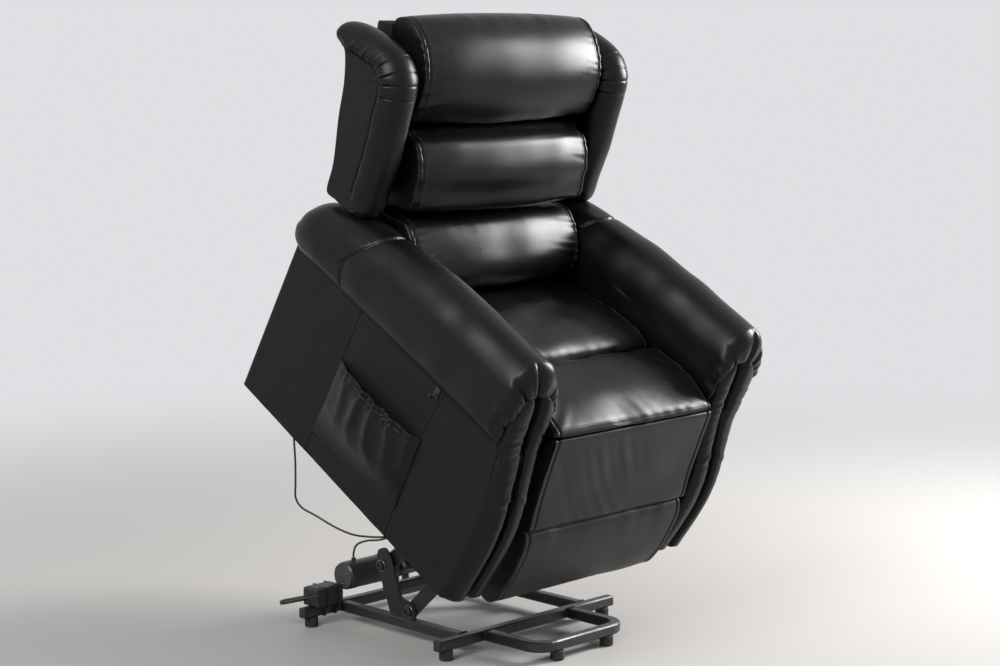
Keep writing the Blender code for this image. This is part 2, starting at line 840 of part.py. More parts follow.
# =============================================================================================
# Seat, arms and skirt
# =============================================================================================
def seat_deck(axis):
    half = ARM_IN - FIT
    box(
        "seat_deck",
        (-half, DECK_FRONT, DECK_BOTTOM),
        (half, DECK_REAR, DECK_BOTTOM + DECK_THICKNESS),
        timber(),
        axis,
        0.004,
    )


def rear_panel(axis):
    half = ARM_IN - FIT
    box(
        "rear_panel",
        (-half, PANEL_DEPTH - REAR_PANEL_BOARD - 0.001, 0.0),
        (half, PANEL_DEPTH - 0.001, REAR_PANEL_HEIGHT),
        panel_vinyl(),
        axis,
        0.006,
        2,
    )


def arm_frames(axis):
    """Each arm's frame and outer panel: one upholstered box, hollowed on its inner lower side."""
    for side, sign in sides():
        board_in = PANEL_OUT - SKIRT_BOARD
        board_low, board_high = sorted((sign * board_in, sign * PANEL_OUT))
        board = box(
            f"arm_panel_{side}",
            (board_low, ARM_FRONT + FIT, 0.0),
            (board_high, PANEL_DEPTH, PANEL_HEIGHT - FIT),
            panel_vinyl(),
            axis,
            0.005,
        )
        low_x, high_x = sorted((sign * ARM_IN, sign * (board_in + 0.008)))
        core = box(
            "core",
            (low_x, ARM_FRONT + FIT + 0.001, ARM_FRAME_LIFT),
            (high_x, PANEL_DEPTH - 0.001, PANEL_HEIGHT - FIT - 0.001),
            panel_vinyl(),
            axis,
        )
        combine(board, [core])


def roll_top(y):
    """Height of the arm roll's crown above the panel: level to the front, falling to the rear."""
    fall = max(0.0, y - 0.25)
    return ROLL_HEIGHT - 0.26 * fall ** 2


def arm_rolls(axis):
    """Padded arm tops with a rounded front scroll and a rounded rear end."""
    outer = PANEL_OUT + ROLL_OVERHANG
    inner = ARM_IN - ROLL_INSET
    mid = (outer + inner) / 2
    wide = outer - inner
    section = [
        (-0.40, 0.0), (0.24, 0.0), (0.47, 0.16), (0.50, 0.42), (0.44, 0.72), (0.24, 0.94),
        (0.0, 1.0), (-0.26, 0.93), (-0.44, 0.70), (-0.50, 0.40), (-0.48, 0.12),
    ]
    loop = smooth_loop(section, 22)
    ends = [(0.0, 0.58), (0.006, 0.76), (0.016, 0.88), (0.032, 0.965), (0.055, 1.0)]
    stations = [(ROLL_FRONT + d, s) for d, s in ends]
    stations += [(y, 1.0) for y in (0.18, 0.32, 0.46, 0.58)]
    stations += [(0.605, 0.985), (0.63, 1.0), (0.72, 1.0)]
    stations += [(ROLL_REAR - d, s) for d, s in ((0.045, 0.96), (0.020, 0.87), (0.006, 0.74), (0.0, 0.55))]
    for side, sign in sides():
        rings = []
        for y, scale in stations:
            height = roll_top(y)
            ring = []
            for u, w in loop:
                x = mid + u * wide * (0.55 + 0.45 * scale)
                z = max(0.0, 0.42 + (max(w, 0.0) - 0.42) * scale) * height
                ring.append((sign * x, y, PANEL_HEIGHT + z))
            rings.append(ring)
        roll = ring_solid(f"arm_roll_{side}", rings, vinyl(), axis)
        keyhole = keyhole_cutter(sign, axis)
        combine(roll, [keyhole], "DIFFERENCE")


def facing_span(z):
    """Inner and outer |x| of the arm's front facing at height z: straight, then a round head."""
    middle = ARM_IN + ARM_WIDTH * 0.55
    head_centre = PANEL_HEIGHT + 0.085
    head = 0.062
    if z <= PANEL_HEIGHT:
        return ARM_IN + FIT, PANEL_OUT
    reach = math.sqrt(max(0.0, head ** 2 - (z - head_centre) ** 2))
    blend = min(1.0, (z - PANEL_HEIGHT) / 0.030)
    return (
        (1 - blend) * (ARM_IN + FIT) + blend * (middle - reach),
        (1 - blend) * PANEL_OUT + blend * (middle + reach),
    )


def facing_front(z):
    """How far the facing's crown stands forward: it bows out low down and leans back at the top."""
    stops = [(0.0, -0.036), (0.10, -0.048), (0.18, -0.052), (0.26, -0.043), (0.34, -0.018),
             (0.41, 0.000), (0.48, 0.003), (0.56, 0.004)]
    for (z0, y0), (z1, y1) in zip(stops, stops[1:]):
        if z <= z1:
            t = max(0.0, (z - z0) / (z1 - z0))
            return y0 + (y1 - y0) * t
    return stops[-1][1]


HEAD_TOP = PANEL_HEIGHT + 0.085 + 0.062
NECK_HEIGHTS = [PANEL_HEIGHT - 0.015, PANEL_HEIGHT, PANEL_HEIGHT + 0.015, PANEL_HEIGHT + 0.030]
HEAD_HEIGHTS = [HEAD_TOP - d for d in (0.095, 0.070, 0.045, 0.024, 0.010, 0.0006)]


def keyhole_cutter(sign, axis):
    """The facing's outline with a little room, as a cutter for the front of the arm roll."""
    room = 0.0012
    heights = NECK_HEIGHTS + HEAD_HEIGHTS
    inner = [(facing_span(z)[0] - room, z) for z in heights]
    outer = [(facing_span(z)[1] + room, z) for z in heights]
    outline = inner + [(inner[-1][0], HEAD_TOP + room), (outer[-1][0], HEAD_TOP + room)] + outer[::-1]
    rings = [[(sign * x, y, z) for x, z in outline] for y in (-0.10, ARM_FRONT + FIT)]
    return ring_solid("keyhole", rings, vinyl(), axis)


def arm_facings(axis):
    """Padded front facings: two vertical bands with a sewn groove between them."""
    across = [0.0, 0.03, 0.13, 0.28, 0.42, 0.50, 0.58, 0.72, 0.87, 0.97, 1.0]
    relief = [0.30, 0.62, 0.92, 1.0, 0.90, 0.66, 0.90, 1.0, 0.92, 0.62, 0.30]
    heights = [0.0, 0.004, 0.02, 0.08, 0.15, 0.22, 0.28, 0.34] + NECK_HEIGHTS + HEAD_HEIGHTS
    for side, sign in sides():
        rings = []
        for i, z in enumerate(heights):
            inner, outer = facing_span(z)
            crown = facing_front(z)
            if i in (0, len(heights) - 1):
                crown += 0.010
            front = [
                (sign * (inner + (outer - inner) * u), ARM_FRONT + (crown - ARM_FRONT) * w, z)
                for u, w in zip(across, relief)
            ]
            back = [(sign * outer, ARM_FRONT, z), (sign * inner, ARM_FRONT, z)]
            rings.append(front + back)
        ring_solid(f"arm_facing_{side}", rings, vinyl(), axis)


def seat_cushion(axis):
    """Seat with its crown, the sewn channel across it and the drawn-in sides."""
    base = DECK_BOTTOM + DECK_THICKNESS + FIT
    crown = base + SEAT_CROWN
    outline = [
        (0.046, base), (0.042, base + 0.050), (0.036, base + 0.088), (0.010, base + 0.1005),
        (-0.008, base + 0.1035), (-0.006, base + 0.110), (0.020, base + 0.121), (0.070, crown - 0.005),
        (0.130, crown), (0.185, crown - 0.006), (0.214, crown - 0.018), (0.222, crown - 0.030),
        (0.230, crown - 0.018), (0.262, crown - 0.006), (0.340, crown - 0.002), (0.430, crown - 0.008),
        (0.500, crown - 0.016), (0.560, crown - 0.027), (SEAT_DEPTH - 0.02, crown - 0.040),
        (SEAT_DEPTH, crown - 0.055), (SEAT_DEPTH, base + 0.010), (SEAT_DEPTH - 0.01, base),
        (0.40, base), (0.20, base),
    ]
    cushion("seat_cushion", SEAT_WIDTH, outline, (0.30, base), 0.86, axis)


def cushion(name, width, outline, anchor, hold, axis, side_power=5.0, rings=17):
    """Loft an outline in (y, z) across X; towards the sides it draws in to the anchor."""
    sections = []
    for i in range(rings):
        u = math.sin(math.pi * (i / (rings - 1) - 0.5))
        edge = abs(u) ** side_power
        scale = 1.0 - (1.0 - hold) * edge
        if i in (0, rings - 1):
            scale *= 0.90
        x = u * width / 2
        ring = [
            (x, anchor[0] + (y - anchor[0]) * (1 - 0.25 * (1 - scale)), anchor[1] + (z - anchor[1]) * scale)
            for y, z in outline
        ]
        sections.append(ring)
    return ring_solid(name, sections, vinyl(), axis)


# =============================================================================================
# Footrest
# =============================================================================================
def footrest_links(upper_axis, lower_axis):
    half = FOOT_LINK_WIDTH / 2
    for side, sign in sides():
        outer, inner = plane(FOOT_UPPER_LAYER)
        upper = prism(
            f"footrest_upper_link_{side}",
            stadium(FOOTREST_PIVOT.yz, FOOTREST_ELBOW.yz, half, 6),
            sign * outer,
            sign * inner,
            mechanism_steel(),
            upper_axis,
            [circle(FOOTREST_PIVOT.yz, PIVOT + RUN)],
        )
        elbow = rivet(FOOTREST_ELBOW, sign * outer, sign * plane(FOOT_LOWER_LAYER)[1], upper_axis)
        # The elbow rivet's head would touch the carriage plate, so it is filed flush.
        trim = box("trim", (min(sign * outer, sign * (outer + 0.01)), 0.0, 0.0),
                   (max(sign * outer, sign * (outer + 0.01)), 0.2, 0.2), mechanism_steel(), upper_axis)
        combine(elbow, [trim], "DIFFERENCE")
        combine(upper, [elbow])
        outer, inner = plane(FOOT_LOWER_LAYER)
        prism(
            f"footrest_lower_link_{side}",
            stadium(FOOTREST_ELBOW.yz, FOOTREST_LUG.yz, half, 6),
            sign * outer,
            sign * inner,
            mechanism_steel(),
            lower_axis,
            [circle(FOOTREST_ELBOW.yz, PIVOT + RUN), circle(FOOTREST_LUG.yz, PIVOT + RUN)],
        )


def footrest_board(axis):
    """Plywood board with a steel lug and stub on each side for the lower links."""
    back = FOOT_BOARD_FRONT + FOOT_BOARD
    half = FOOT_PAD_WIDTH / 2 - 0.012
    board = box(
        "footrest_board", (-half, FOOT_BOARD_FRONT, 0.004), (half, back, 0.405), timber(), axis, 0.002
    )
    tools = []
    outer, inner = plane(FOOT_LUG_LAYER)
    stub_end = plane(FOOT_LOWER_LAYER)[0]
    for _, sign in sides():
        outline = rounded(
            [
                (back - 0.004, FOOTREST_LUG.z - 0.022),
                (FOOTREST_LUG.y + 0.012, FOOTREST_LUG.z - 0.012),
                (FOOTREST_LUG.y + 0.012, FOOTREST_LUG.z + 0.012),
                (back - 0.004, FOOTREST_LUG.z + 0.022),
            ],
            0.006,
        )
        tools.append(prism("lug", outline, sign * outer, sign * inner, mechanism_steel(), axis))
        stub = rod_profile(PIVOT, 0.0, stub_end - inner)
        tools.append(
            turned("stub", stub, (sign * inner, FOOTREST_LUG.y, FOOTREST_LUG.z), (sign, 0, 0),
                   mechanism_steel(), axis, 16)
        )
    combine(board, tools)


def footrest_pad(axis):
    """Padded front: a tall upper panel, the sewn channel and the lower roll."""
    back = FOOT_BOARD_FRONT - FIT
    outline = [
        (back, 0.030), (back, 0.150), (back, 0.280), (back, 0.400), (0.006, 0.424), (-0.003, 0.429),
        (-0.010, 0.424), (-0.015, 0.390), (-0.021, 0.340), (-0.030, 0.280), (-0.040, 0.235),
        (-0.045, 0.213), (-0.041, 0.200), (-0.033, 0.194), (-0.043, 0.187), (-0.052, 0.172),
        (-0.057, 0.140), (-0.058, 0.100), (-0.055, 0.050), (-0.046, 0.005), (-0.032, -0.016),
        (-0.012, -0.022), (0.004, -0.018), (back, -0.004),
    ]
    cushion("footrest_pad", FOOT_PAD_WIDTH, outline, (back, 0.205), 0.965, axis, 6.0)


# =============================================================================================
# Back
# =============================================================================================
def on_back(s, n):
    """Body-frame (y, z) of a point s up the reclined shell and n forward of its rear face."""
    lean = BACK_LEAN
    return (
        BACK_FOOT.y + s * math.sin(lean) - n * math.cos(lean),
        BACK_FOOT.z + s * math.cos(lean) + n * math.sin(lean),
    )


def back_shell(axis):
    """Back frame board: narrow between the arms, wide between the wings."""
    low, middle, high = (w / 2 for w in SHELL_WIDTHS)
    first, second = SHELL_STEPS
    right = [(low, 0.0), (low, first), (middle, first + 0.02), (middle, second), (high, second + 0.02),
             (high, SHELL_HEIGHT)]
    outline = rounded(right + [(-x, s) for x, s in reversed(right)], 0.012, 2)
    rings = []
    for n in (0.0, SHELL_THICKNESS):
        rings.append([(x, *on_back(s, n)) for x, s in outline])
    ring_solid("back_shell", rings, panel_vinyl(), axis)


def back_pillows(axis):
    """Three stuffed pillows, each a forward-bulging roll that draws in at its sides."""
    front = SHELL_THICKNESS + FIT
    rows = (
        ("lumbar_pillow", 0.014, 0.150, 0.205, 0.178, 0.246),
        ("middle_pillow", 0.1525, 0.356, 0.182, 0.138, 0.206),
    )
    for name, low, high, n_low, n_high, n_crown in rows:
        tall = high - low
        shape = [
            (low, front), (low, n_low * 0.62), (low + 0.004, n_low * 0.90), (low + 0.10 * tall, n_low + 0.018),
            (low + 0.28 * tall, n_crown - 0.006), (low + 0.46 * tall, n_crown),
            (low + 0.66 * tall, n_crown - 0.008), (low + 0.84 * tall, n_crown - 0.026),
            (high - 0.012, n_high + 0.012), (high - 0.002, n_high - 0.008), (high, n_high * 0.66),
            (high, front), (low + 0.66 * tall, front), (low + 0.33 * tall, front),
        ]
        outline = [on_back(s, n) for s, n in shape]
        back_cushion(name, outline, on_back((low + high) / 2, front), axis)
    shape = [
        (0.3585, front), (0.3585, 0.100), (0.360, 0.132), (0.372, 0.158), (0.400, 0.180), (0.440, 0.190),
        (0.490, 0.184), (0.540, 0.168), (0.585, 0.142), (0.615, 0.112), (0.625, 0.086), (0.621, 0.062),
        (0.604, front), (0.540, front), (0.480, front), (0.420, front),
    ]
    outline = [on_back(s, n) for s, n in shape]
    back_cushion("head_pillow", outline, on_back(0.48, front), axis)


def back_cushion(name, outline, anchor, axis):
    """Like a cushion, but its whole section draws in towards the anchor on the shell."""
    sections = []
    count = 15
    for i in range(count):
        u = math.sin(math.pi * (i / (count - 1) - 0.5))
        scale = 1.0 - 0.20 * abs(u) ** 7
        if i in (0, count - 1):
            scale *= 0.80
        x = u * PILLOW_WIDTH / 2
        ring = []
        for y, z in outline:
            point = Vector((y, z)) - Vector(anchor)
            normal = Vector((-math.cos(BACK_LEAN), math.sin(BACK_LEAN)))
            lift = point.dot(normal)
            along = point - normal * lift
            moved = Vector(anchor) + along * (1 - 0.12 * (1 - scale)) + normal * lift * scale
            ring.append((x, *moved))
        sections.append(ring)
    ring_solid(name, sections, vinyl(), axis)


def wings(axis):
    """Side wings: a flat panel with a fat roll round its front and top edges."""
    thin = WING_THICKNESS / 2
    edge = [
        ((0.778, 0.580), thin), ((0.805, 0.655), thin), ((0.835, 0.735), thin), ((0.862, 0.810), thin),
        ((0.890, 0.872), 0.034), ((0.912, 0.915), WING_ROLL), ((0.893, 0.950), WING_ROLL),
        ((0.845, 0.970), WING_ROLL), ((0.790, 0.974), WING_ROLL), ((0.735, 0.958), WING_ROLL),
        ((0.697, 0.925), WING_ROLL), ((0.678, 0.880), WING_ROLL), ((0.662, 0.805), WING_ROLL),
        ((0.645, 0.725), WING_ROLL), ((0.628, 0.655), 0.044), ((0.616, 0.610), 0.034),
        ((0.640, 0.594), thin), ((0.700, 0.588), thin),
    ]
    outline = [Vector(p) for p, _ in edge]
    count = len(outline)
    inward = []
    for i in range(count):
        tangent = outline[(i + 1) % count] - outline[i - 1]
        inward.append(Vector((-tangent.y, tangent.x)).normalized())
    steps = (0.0, 0.12, 0.45, 1.0, 1.55, 2.0)
    bulge = (0.0, 0.48, 0.84, 1.0, 0.62, 0.12)
    panel_in = WING_OUT - WING_THICKNESS
    for side, sign in sides():
        outer_rings, inner_rings = [], []
        for step, rise in zip(steps, bulge):
            outer_ring, inner_ring = [], []
            for (_, radius), point, way in zip(edge, outline, inward):
                at = point + way * radius * step
                middle = WING_OUT - radius
                x_out = WING_OUT if step >= 1.0 else middle + radius * rise
                x_in = middle - radius * rise if step < 1.0 else panel_in - (2 * radius - WING_THICKNESS) * rise
                outer_ring.append((sign * x_out, at.x, at.y))
                inner_ring.append((sign * x_in, at.x, at.y))
            outer_rings.append(outer_ring)
            inner_rings.append(inner_ring)
        centre = sum(outline, Vector((0, 0))) / count
        verts = [p for ring in outer_rings for p in ring] + [p for ring in inner_rings[1:] for p in ring]
        verts += [(sign * WING_OUT, *centre), (sign * panel_in, *centre)]
        levels = len(steps)
        faces = []
        for k in range(levels - 1):
            for i in range(count):
                j = (i + 1) % count
                faces.append((k * count + i, k * count + j, (k + 1) * count + j, (k + 1) * count + i))
                a = k * count if k == 0 else (levels + k - 1) * count
                b = (levels + k) * count
                faces.append((a + j, a + i, b + i, b + j))
        outer_centre, inner_centre = len(verts) - 2, len(verts) - 1
        last_out, last_in = (levels - 1) * count, (2 * levels - 2) * count
        for i in range(count):
            j = (i + 1) % count
            faces.append((last_out + i, last_out + j, outer_centre))
            faces.append((last_in + j, last_in + i, inner_centre))
        solid(f"wing_{side}", verts, faces, vinyl(), axis)


def recline_arms(axis):
    """Steel arms screwed to the back shell's edges; each ends in the stub that the back turns on."""
    inner = SHELL_WIDTHS[0] / 2 + FIT
    outer = inner + PLATE
    low = Vector(on_back(0.012, SHELL_THICKNESS / 2))
    high = Vector(on_back(0.130, SHELL_THICKNESS / 2))
    pivot = RECLINE_PIVOT
    for side, sign in sides():
        arm = prism(
            f"recline_arm_{side}", stadium(low, high, 0.016, 6), sign * inner, sign * outer,
            mechanism_steel(), axis,
        )
        ear = prism("ear", stadium(pivot.yz, low, 0.015, 6), sign * inner, sign * outer, mechanism_steel(), axis)
        stub = rod_profile(0.007, 0.0, ARM_IN - FIT - inner)
        pin = turned("stub", stub, (sign * inner, pivot.y, pivot.z), (sign, 0, 0), mechanism_steel(), axis, 16)
        combine(arm, [ear, pin])


# =============================================================================================
# Side pocket, handset and hook
# =============================================================================================
def pocket_point(u, v):
    """A point of the pocket's outer face: u along it, v up it; the gathered top stands off least."""
    y = POCKET_FRONT + (POCKET_REAR - POCKET_FRONT) * u
    z = POCKET_BOTTOM + (POCKET_TOP - POCKET_BOTTOM) * v + 0.014 * (1 - u) * (1 - v)
    across = (4 * u * (1 - u)) ** 0.55
    up = min(1.0, v / 0.18) ** 0.6 * (1 - 0.35 * v * v)
    folds = 0.10 * math.sin(u * math.pi * 9) * v * across
    return y, z, POCKET_BULGE * across * up * (1 + folds)


def side_pocket(axis):
    """Gathered pouch sewn to the left panel along its sides and bottom, open along its top edge."""
    columns, rows = 22, 8
    wall = PANEL_OUT + FIT
    outer, inner = [], []
    for j in range(rows + 1):
        for i in range(columns + 1):
            y, z, off = pocket_point(i / columns, j / rows)
            outer.append((-(wall + SHEET + off), y, z))
            inner.append((-(wall + off), y, z))
    size = len(outer)
    faces = []
    for j in range(rows):
        for i in range(columns):
            a = j * (columns + 1) + i
            b = a + columns + 1
            faces.append((a, a + 1, b + 1, b))
            faces.append((size + a, size + b, size + b + 1, size + a + 1))
    border = [i for i in range(columns + 1)]
    border += [j * (columns + 1) + columns for j in range(1, rows + 1)]
    border += [rows * (columns + 1) + i for i in range(columns - 1, -1, -1)]
    border += [j * (columns + 1) for j in range(rows - 1, 0, -1)]
    for a, b in zip(border, (*border[1:], border[0])):
        faces.append((a, size + a, size + b, b))
    solid("side_pocket", outer + inner, faces, vinyl(), axis, 50.0)


def handset_and_buttons(axis):
    """Hand control that stands in the pocket, with a raise and a lower button."""
    y, z = HANDSET_CENTRE
    wall = PANEL_OUT + FIT
    front = wall + HANDSET.x
    body = box(
        "handset",
        (-front, y - HANDSET.y / 2, z - HANDSET.z / 2),
        (-wall, y + HANDSET.y / 2, z + HANDSET.z / 2),
        black_plastic(),
        axis,
        0.004,
        2,
    )
    deep = BUTTON_TRAVEL + 0.003
    radius = BUTTON_DIAMETER / 2
    places = (("raise", z + 0.040), ("lower", z + 0.012))
    tools = [
        turned("recess", rod_profile(radius + RUN, 0.0, deep + 0.01), (-front + deep, y, height), (-1, 0, 0),
               black_plastic(), axis, 20)
        for _, height in places
    ]
    combine(body, tools, "DIFFERENCE")
    for word, height in places:
        floor = -front + deep
        start = BUTTON_TRAVEL + FIT
        pivot = Vector((floor, y, height))
        slide = Axis(f"{word}_button_axis", pivot, axis, axis.frame)
        turned(
            f"{word}_button",
            rod_profile(radius, start, deep + BUTTON_RISE, 0.0008),
            pivot,
            (-1, 0, 0),
            black_plastic(),
            slide,
            20,
        )


def handset_hook(axis):
    """Small plastic hook on the left panel, just under the arm roll."""
    y, z = HOOK_PLACE
    wall = PANEL_OUT + FIT
    base = box("handset_hook", (-wall - 0.003, y - 0.008, z - 0.014), (-wall, y + 0.008, z + 0.014),
               black_plastic(), axis, 0.001)
    points = [(-wall - 0.0042, z - 0.002), (-wall - 0.012, z - 0.010), (-wall - 0.020, z - 0.006),
              (-wall - 0.021, z + 0.004)]
    path = smooth_path([(x, y, h) for x, h in points], 0.004)
    rings = []
    for i, point in enumerate(path):
        ahead = (path[min(i + 1, len(path) - 1)] - path[max(i - 1, 0)]).normalized()
        side = Vector((0, 1, 0))
        up = ahead.cross(side)
        rings.append([point + side * 0.003 * math.cos(a) + up * 0.003 * math.sin(a)
                      for a in (math.pi * k / 4 for k in range(8))])
    finger = ring_solid("finger", rings, black_plastic(), axis)
    combine(base, [finger])


# =============================================================================================
# Power box, straps and leads
# =============================================================================================
def power_box():
    """Power supply strapped on the left end of the rear cross tube with two cable ties."""
    low = Vector((POWER_BOX_X - POWER_BOX.x / 2, REAR_TUBE_MID - POWER_BOX.y / 2, TUBE_TOP + FIT))
    high = low + POWER_BOX
    box("power_box", low, high, black_plastic(), None, 0.004, 2)
    foot_edge = -REAR_TUBE_LENGTH / 2 + FOOT_INSET + FOOT_DIAMETER / 2
    for index, share in enumerate(STRAP_SHARES, 1):
        x = foot_edge + share * (high.x - foot_edge)
        hold = [
            (low.y - FIT, low.z - FIT),
            (REAR_TUBE_Y - FIT, FOOT_HEIGHT - FIT),
            (REAR_TUBE_Y + TUBE + FIT, FOOT_HEIGHT - FIT),
            (high.y + FIT, low.z - FIT),
            (high.y + FIT, high.z + FIT),
            (low.y - FIT, high.z + FIT),
        ]
        middle = Vector((REAR_TUBE_MID, (high.z + FOOT_HEIGHT) / 2))
        outer = [tuple(Vector(p) + (Vector(p) - middle).normalized() * STRAP * 1.5) for p in hold]
        strap = prism(f"cable_tie_{index}", outer, x, x + STRAP_WIDTH, black_plastic(), None, [hold])
        head = box("head", (x - 0.001, low.y - 0.008, high.z - 0.013), (x + STRAP_WIDTH + 0.001, low.y - 0.0008,
                   high.z - 0.006), black_plastic())
        tail = box("tail", (x + 0.001, low.y - 0.006, high.z - 0.055), (x + STRAP_WIDTH - 0.001, low.y - 0.0045,
                   high.z - 0.010), black_plastic())
        combine(strap, [head, tail])


def cord_curve(name, points, diameter, sides_level, mat):
    curve = bpy.data.curves.new(name, "CURVE")
    curve.dimensions = "3D"
    curve.bevel_depth = diameter / 2
    curve.bevel_resolution = sides_level
    curve.use_fill_caps = True
    spline = curve.splines.new("POLY")
    spline.points.add(len(points) - 1)
    for slot, point in zip(spline.points, points):
        slot.co = (*point, 1.0)
    curve.materials.append(mat)
    obj = bpy.data.objects.new(name, curve)
    bpy.context.scene.collection.objects.link(obj)
    return obj


CORD_ROUTE = [
    (-0.292, 0.520, 0.6440), (-0.292, 0.520, 0.560), (-0.291, 0.521, 0.470), (-0.288, 0.520, 0.400),
    (-0.283, 0.526, 0.345), (-0.278, 0.532, 0.305), (-0.272, 0.516, 0.282), (-0.262, 0.474, 0.266),
    (-0.250, 0.418, 0.245), (-0.238, 0.366, 0.233), (-0.224, 0.318, 0.233), (-0.204, 0.294, 0.233),
    (-0.182, 0.306, 0.226), (-0.168, 0.350, 0.211), (-0.1655, 0.400, 0.200), (-0.165, 0.436, 0.184),
]


def hanging_cord():
    """Thin lead that hangs from the left arm's underside and loops over the bracket to the motor."""
    pivot, along, _ = actuator_line()
    up = Vector((0.0, -along.z, along.y)) if along.y > 0 else Vector((0.0, along.z, -along.y))
    motor = pivot + along * MOTOR_AHEAD + up * MOTOR_ABOVE
    top = motor.z + MOTOR_DIAMETER / 2 + GLAND_RISE + FIT
    ends = [(GLAND_X, motor.y, top + 0.012), (GLAND_X, motor.y, top)]
    cord_curve("control_cord", smooth_path(CORD_ROUTE + ends, CORD_DIAMETER * 2.4), CORD_DIAMETER, 2,
               black_plastic())


def lead_hank():
    """The spare length of thin lead, folded into a flat hank that juts out from the power box."""
    pitch = HANK_CABLE + 0.0022
    layer_rise = HANK_CABLE + 0.0014
    steps = 24
    box_end = POWER_BOX_X - POWER_BOX.x / 2
    centre = Vector((box_end - 0.032, REAR_TUBE_MID + 0.020, TUBE_TOP + 0.017))
    heading = Vector((-0.66, 0.72, -0.20)).normalized()
    across = Vector((0, 0, 1)).cross(heading).normalized()
    above = heading.cross(across)
    inner_turns = HANK_TURNS / 2
    points = []
    total = round(HANK_TURNS * steps)
    for i in range(total + 1):
        turn = i / steps
        out = abs(inner_turns - turn)
        climb = min(1.0, max(0.0, (turn - inner_turns) * 2 + 0.5))
        angle = 2 * math.pi * turn - math.pi / 2
        run, bow = math.cos(angle), math.sin(angle)
        waist = 1.0 - 0.16 * (1.0 - run * run) ** 4
        points.append(
            centre
            + heading * (HANK_REACH + out * pitch) * math.copysign(abs(run) ** 0.8, run)
            + across * (0.0070 + out * pitch) * waist * math.copysign(abs(bow) ** 0.8, bow)
            + above * climb * layer_rise
        )
    least = min((a - b).length for i, a in enumerate(points) for b in points[i + steps // 2 :])
    print(f"hank: least gap between its loops {1000 * (least - HANK_CABLE):.2f} mm")
    slant = HANK_CABLE / 2 * math.sqrt(1 - heading.x ** 2)
    for end in (0, -1):
        step = (box_end - FIT - slant - points[end].x) / heading.x
        lead = [points[end] + heading * step * k / 4 for k in (1, 2, 3, 4)]
        points = lead[::-1] + points if end == 0 else points + lead
    cord_curve("lead_hank", points, HANK_CABLE, 1, black_plastic())


# =============================================================================================
# Assembly
# =============================================================================================
def build():
    clear_scene()
    cross_tubes()
    front_loop()
    feet()
    base_brackets()
    tie_tube()
    actuator_clevis()
    power_box()
    hanging_cord()
    lead_hank()

    rear_axis = Axis("rear_link_axis", REAR_PIVOT)
    front_axis = Axis("front_link_axis", FRONT_PIVOT)
    lift_links(rear_axis, front_axis)

    frame = body_matrix()
    to_body = frame.inverted()
    rear_joint = to_body @ link_end(REAR_PIVOT, REAR_LINK_LENGTH, REAR_LINK_RISE)
    front_joint = to_body @ link_end(FRONT_PIVOT, FRONT_LINK_LENGTH, FRONT_LINK_RISE)
    body = Axis("chair_body_axis", rear_joint, rear_axis, frame)

    actuator_axis = Axis("actuator_axis", ACTUATOR_PIVOT)
    rod_axis = Axis("rod_axis", ACTUATOR_PIVOT, actuator_axis)
    lift_actuator(actuator_axis, rod_axis)

    carriage_plates(body, rear_joint, front_joint)
    lift_cross_tube(body)
    seat_deck(body)
    rear_panel(body)
    arm_frames(body)
    arm_rolls(body)
    arm_facings(body)
    seat_cushion(body)
    side_pocket(body)
    handset_and_buttons(body)
    handset_hook(body)

    recline_axis = Axis("recline_axis", RECLINE_PIVOT, body, frame)
    back_shell(recline_axis)
    back_pillows(recline_axis)
    wings(recline_axis)
    recline_arms(recline_axis)

    upper_axis = Axis("footrest_upper_axis", FOOTREST_PIVOT, body, frame)
    lower_axis = Axis("footrest_lower_axis", FOOTREST_ELBOW, upper_axis, frame)
    board_axis = Axis("footrest_board_axis", FOOTREST_LUG, lower_axis, frame)
    footrest_links(upper_axis, lower_axis)
    footrest_board(board_axis)
    footrest_pad(board_axis)


def stand_on_origin():
    """Move every piece that hangs from nothing, and with it all the rest, over the origin."""
    for obj in bpy.data.objects:
        if obj.parent is None:
            obj.location.y -= MIDDLE_Y


build()
stand_on_origin()
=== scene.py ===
"""Powered lift recliner in black faux leather, raised and tilted forward on its steel lift frame."""
import json
import math

import bmesh
import bpy
import numpy as np
from mathutils import Matrix, Vector


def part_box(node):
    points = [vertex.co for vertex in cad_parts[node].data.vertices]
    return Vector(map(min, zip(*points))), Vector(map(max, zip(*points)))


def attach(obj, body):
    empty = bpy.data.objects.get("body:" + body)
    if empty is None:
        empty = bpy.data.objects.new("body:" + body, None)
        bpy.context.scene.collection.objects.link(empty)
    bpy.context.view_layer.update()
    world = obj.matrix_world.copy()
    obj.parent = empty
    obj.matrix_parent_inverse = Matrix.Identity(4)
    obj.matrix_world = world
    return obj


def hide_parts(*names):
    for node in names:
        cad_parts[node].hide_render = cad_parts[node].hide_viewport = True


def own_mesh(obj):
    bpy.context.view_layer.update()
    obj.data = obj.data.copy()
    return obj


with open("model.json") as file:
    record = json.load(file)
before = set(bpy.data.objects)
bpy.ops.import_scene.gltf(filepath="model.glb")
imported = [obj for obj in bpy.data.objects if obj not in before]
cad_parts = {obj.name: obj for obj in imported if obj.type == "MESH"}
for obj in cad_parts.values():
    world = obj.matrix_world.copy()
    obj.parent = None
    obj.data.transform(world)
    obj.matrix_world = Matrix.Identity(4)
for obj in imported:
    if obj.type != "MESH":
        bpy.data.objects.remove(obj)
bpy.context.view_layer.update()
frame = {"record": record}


# ---------------------------------------------------------------------------------------------
# Camera, floor and lights.  The camera stands where the photograph was taken from: a long lens
# at seat height, to the left of the chair's front.
# ---------------------------------------------------------------------------------------------
CAMERA_PLACE = Vector((-3.7277, -3.6610, 1.4564))
CAMERA_AZIMUTH = math.radians(-45.36)
CAMERA_ELEVATION = math.radians(7.92)
LAMP_AIM = Vector((0.0, 0.0, 0.8))
FLOOR_COLOUR = (0.52, 0.50, 0.475, 1.0)
BACKDROP = (0.735, 0.745, 0.765, 1.0)
